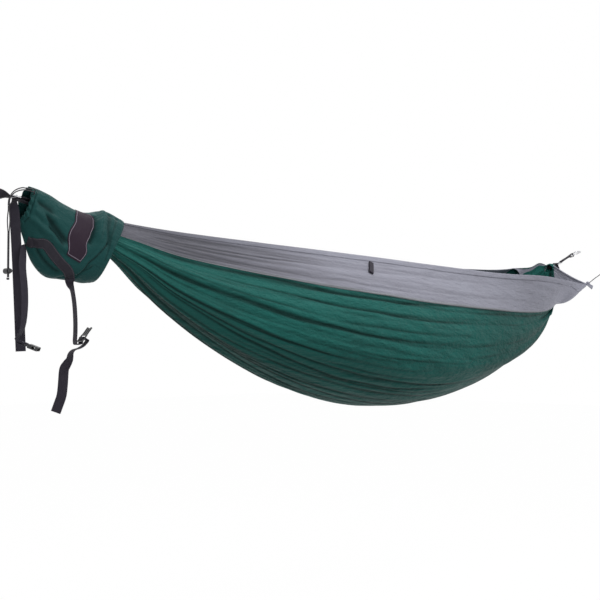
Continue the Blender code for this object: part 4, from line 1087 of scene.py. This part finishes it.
def make_short_end():
    """The sewn strap's short end, with the socket half of the clip at its foot."""
    start = joint_spot("female_strap_swing")
    clip_at, = hanging(start, VIEW_RIGHT, VIEW_DEEP, (0.034, -0.250, 0.028))
    place = clip_frame(clip_at, VIEW_RIGHT * -0.93 + UP * 0.36, VIEW_DEEP)
    into = [Vector((SOCKET_LAP, 0.0, BAR_WRAP)), Vector((SOCKET_LAP / 2, 0.0, BAR_WRAP))]
    into += arc(0.0, BAR_WRAP, 90.0, 270.0, 10)
    into += [Vector((SOCKET_LAP * 0.35, 0.0, -BAR_WRAP)),
             Vector((SOCKET_LAP * 0.8, 0.0, -0.8 * BAR_WRAP))]
    into = [place @ (Vector((SOCKET_BAR, 0.0, 0.0)) + point) for point in into]
    path = [start, start - UP * 0.006]
    path += hanging(start, VIEW_RIGHT, VIEW_DEEP, (0.001, -0.024, 0.008), (0.004, -0.058, 0.024),
                    (0.010, -0.108, 0.028), (0.011, -0.158, 0.028), (0.006, -0.203, 0.028),
                    (-0.008, -0.229, 0.028))
    path = smooth_path(path + [into[-1]], 3)[:-1] + list(reversed(into))
    free_web("short_end_web", "female_strap_end", "strap_female", path, VIEW_DEEP, VIEW_DEEP,
             (0.0, 1.0), 0.5)


def make_drawcord():
    """Two strands from the mouth's channel over the buckle, through the lock to a knot."""
    for strand, shift in (("front", -0.5), ("back", 0.5)):
        spot = (0.055, 50.0 + 10.0 * shift)
        start = sack_point(*spot, 0.0007)
        out = (sack_point(*spot, 0.010) - start).normalized()
        offset = Vector((shift * CORD_PITCH, 0.0, 0.0))
        aside = UP * (-shift * 1.6 * CORD_PITCH)
        top = DRAWCORD_TOP + offset
        upper = [start, start + out * 0.005 + Vector((-0.002, 0.0, 0.002)),
                 GATHER + Vector((-0.198, -0.036, 0.0555)) + offset + aside,
                 GATHER + Vector((-0.214, -0.034, 0.0560)) + offset + aside,
                 GATHER + Vector((-0.232, -0.030, 0.0480)) + offset + aside * 0.6,
                 GATHER + Vector((-0.243, -0.027, 0.0330)) + offset,
                 top + UP * 0.0066, top + UP * 0.0006]
        free_cord("cord_arc_" + strand, "drawcord_upper_" + strand, "sack", smooth_path(upper, 4),
                  CORD_RADIUS)
        lower = [top, top - UP * 0.010, top + Vector((0.0040 * shift, 0.0, -0.034))]
        lower += [top - UP * height for height in (0.062, 0.070, 0.110, 0.150, 0.170)]
        free_cord("cord_run_" + strand, "drawcord_run_" + strand, "drawcord", smooth_path(lower, 4),
                  CORD_RADIUS)


def make_corner_cord():
    """The cord that pulls the near corner out, with a small eye turned back at its end."""
    start = STATIONS[-1].rim() + CORNER_PULL * 0.0186
    route = ((0.0, 0.0), (0.020, 0.0), (0.060, 0.002), (0.095, 0.001), (0.115, 0.004),
             (0.130, 0.0085), (0.142, 0.0050), (0.144, -0.001), (0.137, -0.0065),
             (0.123, -0.0060), (0.110, -0.0035))
    path = smooth_path([start + CORNER_PULL * a + LEVEL * b for a, b in route], 6)
    free_cord("corner_cord", "near_corner_cord", "hammock", path, CORNER_CORD_RADIUS)


make_tail("left", LEFT_TAIL, ((0.12, 0.001, -0.001), (0.35, 0.008, 0.0), (0.65, 0.016, 0.002),
                              (1.0, 0.022, 0.0)))
make_tail("right", RIGHT_TAIL, ((0.35, 0.002, 0.0), (1.0, 0.003, 0.0)))
make_long_end()
make_short_end()
make_drawcord()
make_corner_cord()


# Sewn ends, tabs and knots

HEM_BARREL = 0.0065
HEM_AHEAD = 0.008
BUNCH_RADIUS = 0.0162
BUNCH_SIDES = 96
PLEATS = 13.0
EYE_INNER = 0.0065
EYE_SEAT = 0.0010
EYE_NECK = 0.034
EYE_LAP = 0.060
EYE_WIDTH = 0.006
RING_LENGTH = 0.054
WIRE_RADIUS = 0.003
LAP_RISE = WEB_THICK + 0.0003
TAB_STATION = 0.455
TAB_WIDTH = 0.0155
TAB_LENGTH = 0.064
TAB_DROP = 0.043
TAB_THICK = 0.0015
TAB_RADIUS = 0.0022


def make_end_loop(side, place, reach):
    """The closed webbing loop from the buckle's first bar round the gathered hem."""
    near_bar = arc(reach - BAR_PITCH, BAR_WRAP, -90.0, 90.0, 10)
    back = arc(HEM_AHEAD, HEM_BARREL + 0.0003 + WEB_THICK / 2, 90.0, 270.0, 12)
    top = [near_bar[-1].lerp(back[0], i / 12) for i in range(1, 12)]
    bottom = [back[-1].lerp(near_bar[0], i / 12) for i in range(1, 12)]
    points = [place @ p for p in near_bar + top + back + bottom]
    loop = swept(side + "_loop_web", points, [place.to_3x3() @ LEVEL] * len(points),
                 web_profile(WEB_WIDTH, WEB_THICK), WEB_SEWN, closed=True)
    dress(loop, "hammock", side + "_end_loop")


def make_gathered_hem(side, place):
    """The cloth's end, bunched in pleats on the end loop."""
    rows = []
    for share in spread(0.0, 1.0, 14):
        flat = eased(share, 0.35, 1.0)
        row = []
        for j in range(BUNCH_SIDES):
            angle = 2.0 * math.pi * j / BUNCH_SIDES
            pleat = 1.0 + 0.09 * (1.0 - 0.5 * share) * math.sin(PLEATS * angle + 2.0 * share)
            narrow = 1.0 - 0.35 * max(0.0, share - 0.9) / 0.1
            across = BUNCH_RADIUS * math.sin(angle) * pleat * narrow
            rise = (BUNCH_RADIUS - 0.0078 * flat) * math.cos(angle) * pleat - BUNDLE_DROP * (1.0 - flat)
            row.append(place @ Vector((-0.0105 + 0.0265 * share, across, rise)))
        rows.append(row)
    bunch = grid_mesh(side + "_gather_bunch", rows, GREEN, closed=True, thickness=0.0016)
    dress(bunch, "hammock", side + "_gather_hem")


def make_suspension_strap(side, place, reach, length, roll):
    """Strap out of the buckle, turning on its way, to its narrow sewn eye and the eye's lap."""
    points = threaded_bars(reach, -0.0035)
    start = points[-1]
    buckle_last = len(points) - 1
    eye_radius = EYE_INNER + WEB_THICK / 2
    eye_at = length - RING_LENGTH + WIRE_RADIUS + EYE_SEAT - EYE_INNER
    neck_at = eye_at - EYE_NECK
    run = neck_at - start.x
    for i in range(1, 20):
        points.append(Vector((start.x + run * i / 20, 0.0, start.z * (1.0 - eased(i, 0, 20)))))
    eye_first = len(points)
    eye = [Vector((neck_at, 0.0, 0.0)), Vector((neck_at + 0.3 * EYE_NECK, 0.0, -0.0012)),
           Vector((neck_at + 0.65 * EYE_NECK, 0.0, -0.8 * eye_radius))]
    eye += arc(eye_at, eye_radius, -90.0, 90.0, 10)
    eye += [Vector((neck_at + 0.65 * EYE_NECK, 0.0, 0.8 * eye_radius)),
            Vector((neck_at + 0.3 * EYE_NECK, 0.0, 0.0012 + LAP_RISE))]
    turn = Matrix.Rotation(roll, 3, 'X')
    points += [turn @ p for p in eye]
    lap_first = len(points)

    def rolled(along):
        return Matrix.Rotation(roll * eased(along - start.x, 0.0, min(run, 0.038)), 3, 'X')

    for along in spread(neck_at, neck_at - min(EYE_LAP, 0.6 * run), 8):
        rest = Vector((along, 0.0, start.z * (1.0 - eased((along - start.x) / run, 0.0, 1.0))))
        points.append(rest + rolled(along) @ UP * LAP_RISE)
    sides = []
    profiles = []
    middle = (eye_first + lap_first) / 2
    for i, point in enumerate(points):
        sides.append(place.to_3x3() @ (rolled(point.x) @ LEVEL if i >= buckle_last else LEVEL))
        away = abs(i - middle) / (lap_first - middle)
        width = EYE_WIDTH + (WEB_WIDTH - EYE_WIDTH) * eased(away, 0.62, 1.0)
        profiles.append(web_profile(width, WEB_THICK * 0.95))
    strap = swept(side + "_strap_web", [place @ p for p in points], sides, profiles, WEB_SEWN)
    dress(strap, "hammock", side + "_suspension_strap")


def make_edge_tab(name, rim_share, inward, lean):
    """A short webbing loop that hangs from the rim's hem on the outside of the side panel."""
    station = Station(TAB_STATION)
    rim, below = [Vector((0.0, *station.plain(rim_share + inward * d))) for d in (0.0, 0.035)]
    down = below - rim
    down = (down + Vector((lean * down.y, 0.0, 0.0))).normalized()
    out = Vector((0.0, -down.z, down.y)).normalized()
    out = -out if out.y * inward > 0.0 else out
    top = station.point(rim_share + inward * 0.0001) + out * (TAB_RADIUS + 0.0019)
    top += down * (TAB_DROP + TAB_RADIUS)
    low = top + down * (TAB_LENGTH - 2.0 * TAB_RADIUS)
    points = []
    for centre, far, first in ((top, low, 0.0), (low, top, 180.0)):
        for angle in map(math.radians, spread(first, first + 180.0, 8)):
            points.append(centre + (out * math.cos(angle) - down * math.sin(angle)) * TAB_RADIUS)
        end = points[-1]
        points += [end + (far - centre) * k / 8 for k in range(1, 8)]
    tab = swept(name + "_web", points, [down.cross(out)] * len(points),
                web_profile(TAB_WIDTH, TAB_THICK), WEB, closed=True)
    dress(tab, "hammock", name)


def make_corner_ear(start, ahead):
    """The end of the cloth past the corner's knot."""
    stations = ((0.0, 0.0, 0.0035, 0.003), (0.008, 0.002, 0.005, 0.003),
                (0.018, 0.006, 0.0075, 0.0026), (0.030, 0.012, 0.0085, 0.0016))
    path = [start + ahead * along - UP * drop for along, drop, wide, thin in stations]
    profiles = [[(a * wide, b * thin) for a, b in round_profile(1.0, 16)]
                for along, drop, wide, thin in stations]
    dress(swept("corner_ear", path, [UP] * len(path), profiles, GREY), "hammock")


def make_knot(name, node, body, centre, ahead, size, radius, material):
    """A tight overhand knot."""
    turn = UP.rotation_difference(ahead).to_matrix()
    path = []
    for i in range(72):
        angle = 2.0 * math.pi * i / 72
        shape = Vector((math.sin(angle) + 2.0 * math.sin(2.0 * angle),
                        math.cos(angle) - 2.0 * math.cos(2.0 * angle), -1.5 * math.sin(3.0 * angle)))
        path.append(centre + turn @ shape * size)
    knot = swept(name, path, cord_sides(path), round_profile(radius), material, closed=True)
    dress(knot, body, node)


for side, reach, length, roll in (
        ("left", 0.219, GATHER.length, math.radians(90.0)),
        ("right", 0.048, (ANCHOR - RIGHT_GATHER).length, math.radians(-14.0))):
    make_end_loop(side, PLACES[side], reach)
    make_gathered_hem(side, PLACES[side])
    make_suspension_strap(side, PLACES[side], reach, length, roll)
make_edge_tab("near_edge_tab", 0.0, 1.0, 1.22)
make_edge_tab("far_edge_tab", 1.0, -1.0, 0.0)
make_corner_ear(STATIONS[-1].rim(), Vector((0.95, -0.30, 0.0)).normalized())
make_knot("corner_knot", "near_corner_knot", "hammock", STATIONS[-1].rim() + CORNER_PULL * 0.0093,
          CORNER_PULL, 0.0019, 0.0034, GREY)
make_knot("cord_knot", "drawcord_knot", "drawcord", DRAWCORD_TOP - UP * DRAWCORD_KNOT_DROP, UP,
          0.00085, CORD_RADIUS, CORD)


# Materials of the solids that show as they are

LOOKS = {node: PLASTIC for node in ("male_clip", "female_clip", "cord_lock_barrel",
                                    "cord_lock_plunger")}
for side in ("left", "right"):
    for piece in ("cinch_buckle", "carabiner", "gate", "gate_pin"):
        LOOKS[side + "_" + piece] = STEEL
for node, material in LOOKS.items():
    for slot in NODES[node].material_slots:
        slot.material = material


# Floor and light

FLOOR_HALF = 14.0
FLOOR_PLACE = (1.5, 0.0, -1.40)
FLOOR_SHADE_SHARE = 0.08
FLOOR_GLOW = 1.06
BACKDROP = 1.0
FILL_LIGHT = 0.36


def plain_view(tree):
    """1 for the rays that see the surroundings: the camera's, a reflection's or glass's."""
    rays = add_node(tree, "LightPath").outputs
    seen = math_node(tree, 'MAXIMUM', rays["Is Camera Ray"], rays["Is Glossy Ray"])
    return math_node(tree, 'MAXIMUM', seen, rays["Is Transmission Ray"])


def make_floor():
    material, tree, shader = new_material("floor_paint")
    set_inputs(shader, Base_Color=(0.42, 0.42, 0.42, 1.0), Roughness=0.9)
    glow = add_node(tree, "Emission", Strength=FLOOR_GLOW)
    mix = add_node(tree, "MixShader")
    for slot, value in enumerate((times(tree, plain_view(tree), 1.0 - FLOOR_SHADE_SHARE),
                                  shader.outputs[0], glow.outputs[0])):
        tree.links.new(value, mix.inputs[slot])
    tree.links.new(mix.outputs[0], tree.nodes["Material Output"].inputs["Surface"])
    bm = bmesh.new()
    bmesh.ops.create_grid(bm, x_segments=1, y_segments=1, size=FLOOR_HALF)
    floor = add_object("floor", bm, material)
    floor.location = FLOOR_PLACE


def make_world():
    world = bpy.data.worlds.new("studio")
    bpy.context.scene.world = world
    world.use_nodes = True
    tree = world.node_tree
    shade = tree.nodes["Background"]
    set_inputs(shade, Color=(1.0, 1.0, 1.0, 1.0))
    seen = times(tree, plain_view(tree), BACKDROP - FILL_LIGHT)
    tree.links.new(math_node(tree, 'ADD', seen, FILL_LIGHT), shade.inputs["Strength"])


def make_lamp(name, place, target, size, power, spread_degrees=180.0):
    data = bpy.data.lights.new(name, 'AREA')
    data.shape = 'SQUARE'
    data.size = size
    data.energy = power
    data.spread = math.radians(spread_degrees)
    lamp = bpy.data.objects.new(name, data)
    lamp.visible_camera = False
    lamp.location = place
    aim = Vector(target) - Vector(place)
    lamp.rotation_euler = aim.to_track_quat('-Z', 'Y').to_euler()
    bpy.context.scene.collection.objects.link(lamp)


make_floor()
make_world()
make_lamp("key", (1.4, -2.6, 2.5), (1.2, 0.0, -0.3), 1.8, 74.0)
make_lamp("top", (1.4, 0.6, 2.7), (1.4, 0.0, -0.3), 2.6, 40.0)
make_lamp("end_fill", (3.00, -0.60, -0.75), (2.66, -0.13, -0.16), 0.2, 0.18, 40.0)
make_lamp("sack_fill", (-0.40, -1.30, -0.90), (0.40, 0.0, -0.16), 0.8, 1.0, 60.0)

bpy.context.scene.view_settings.view_transform = 'Standard'
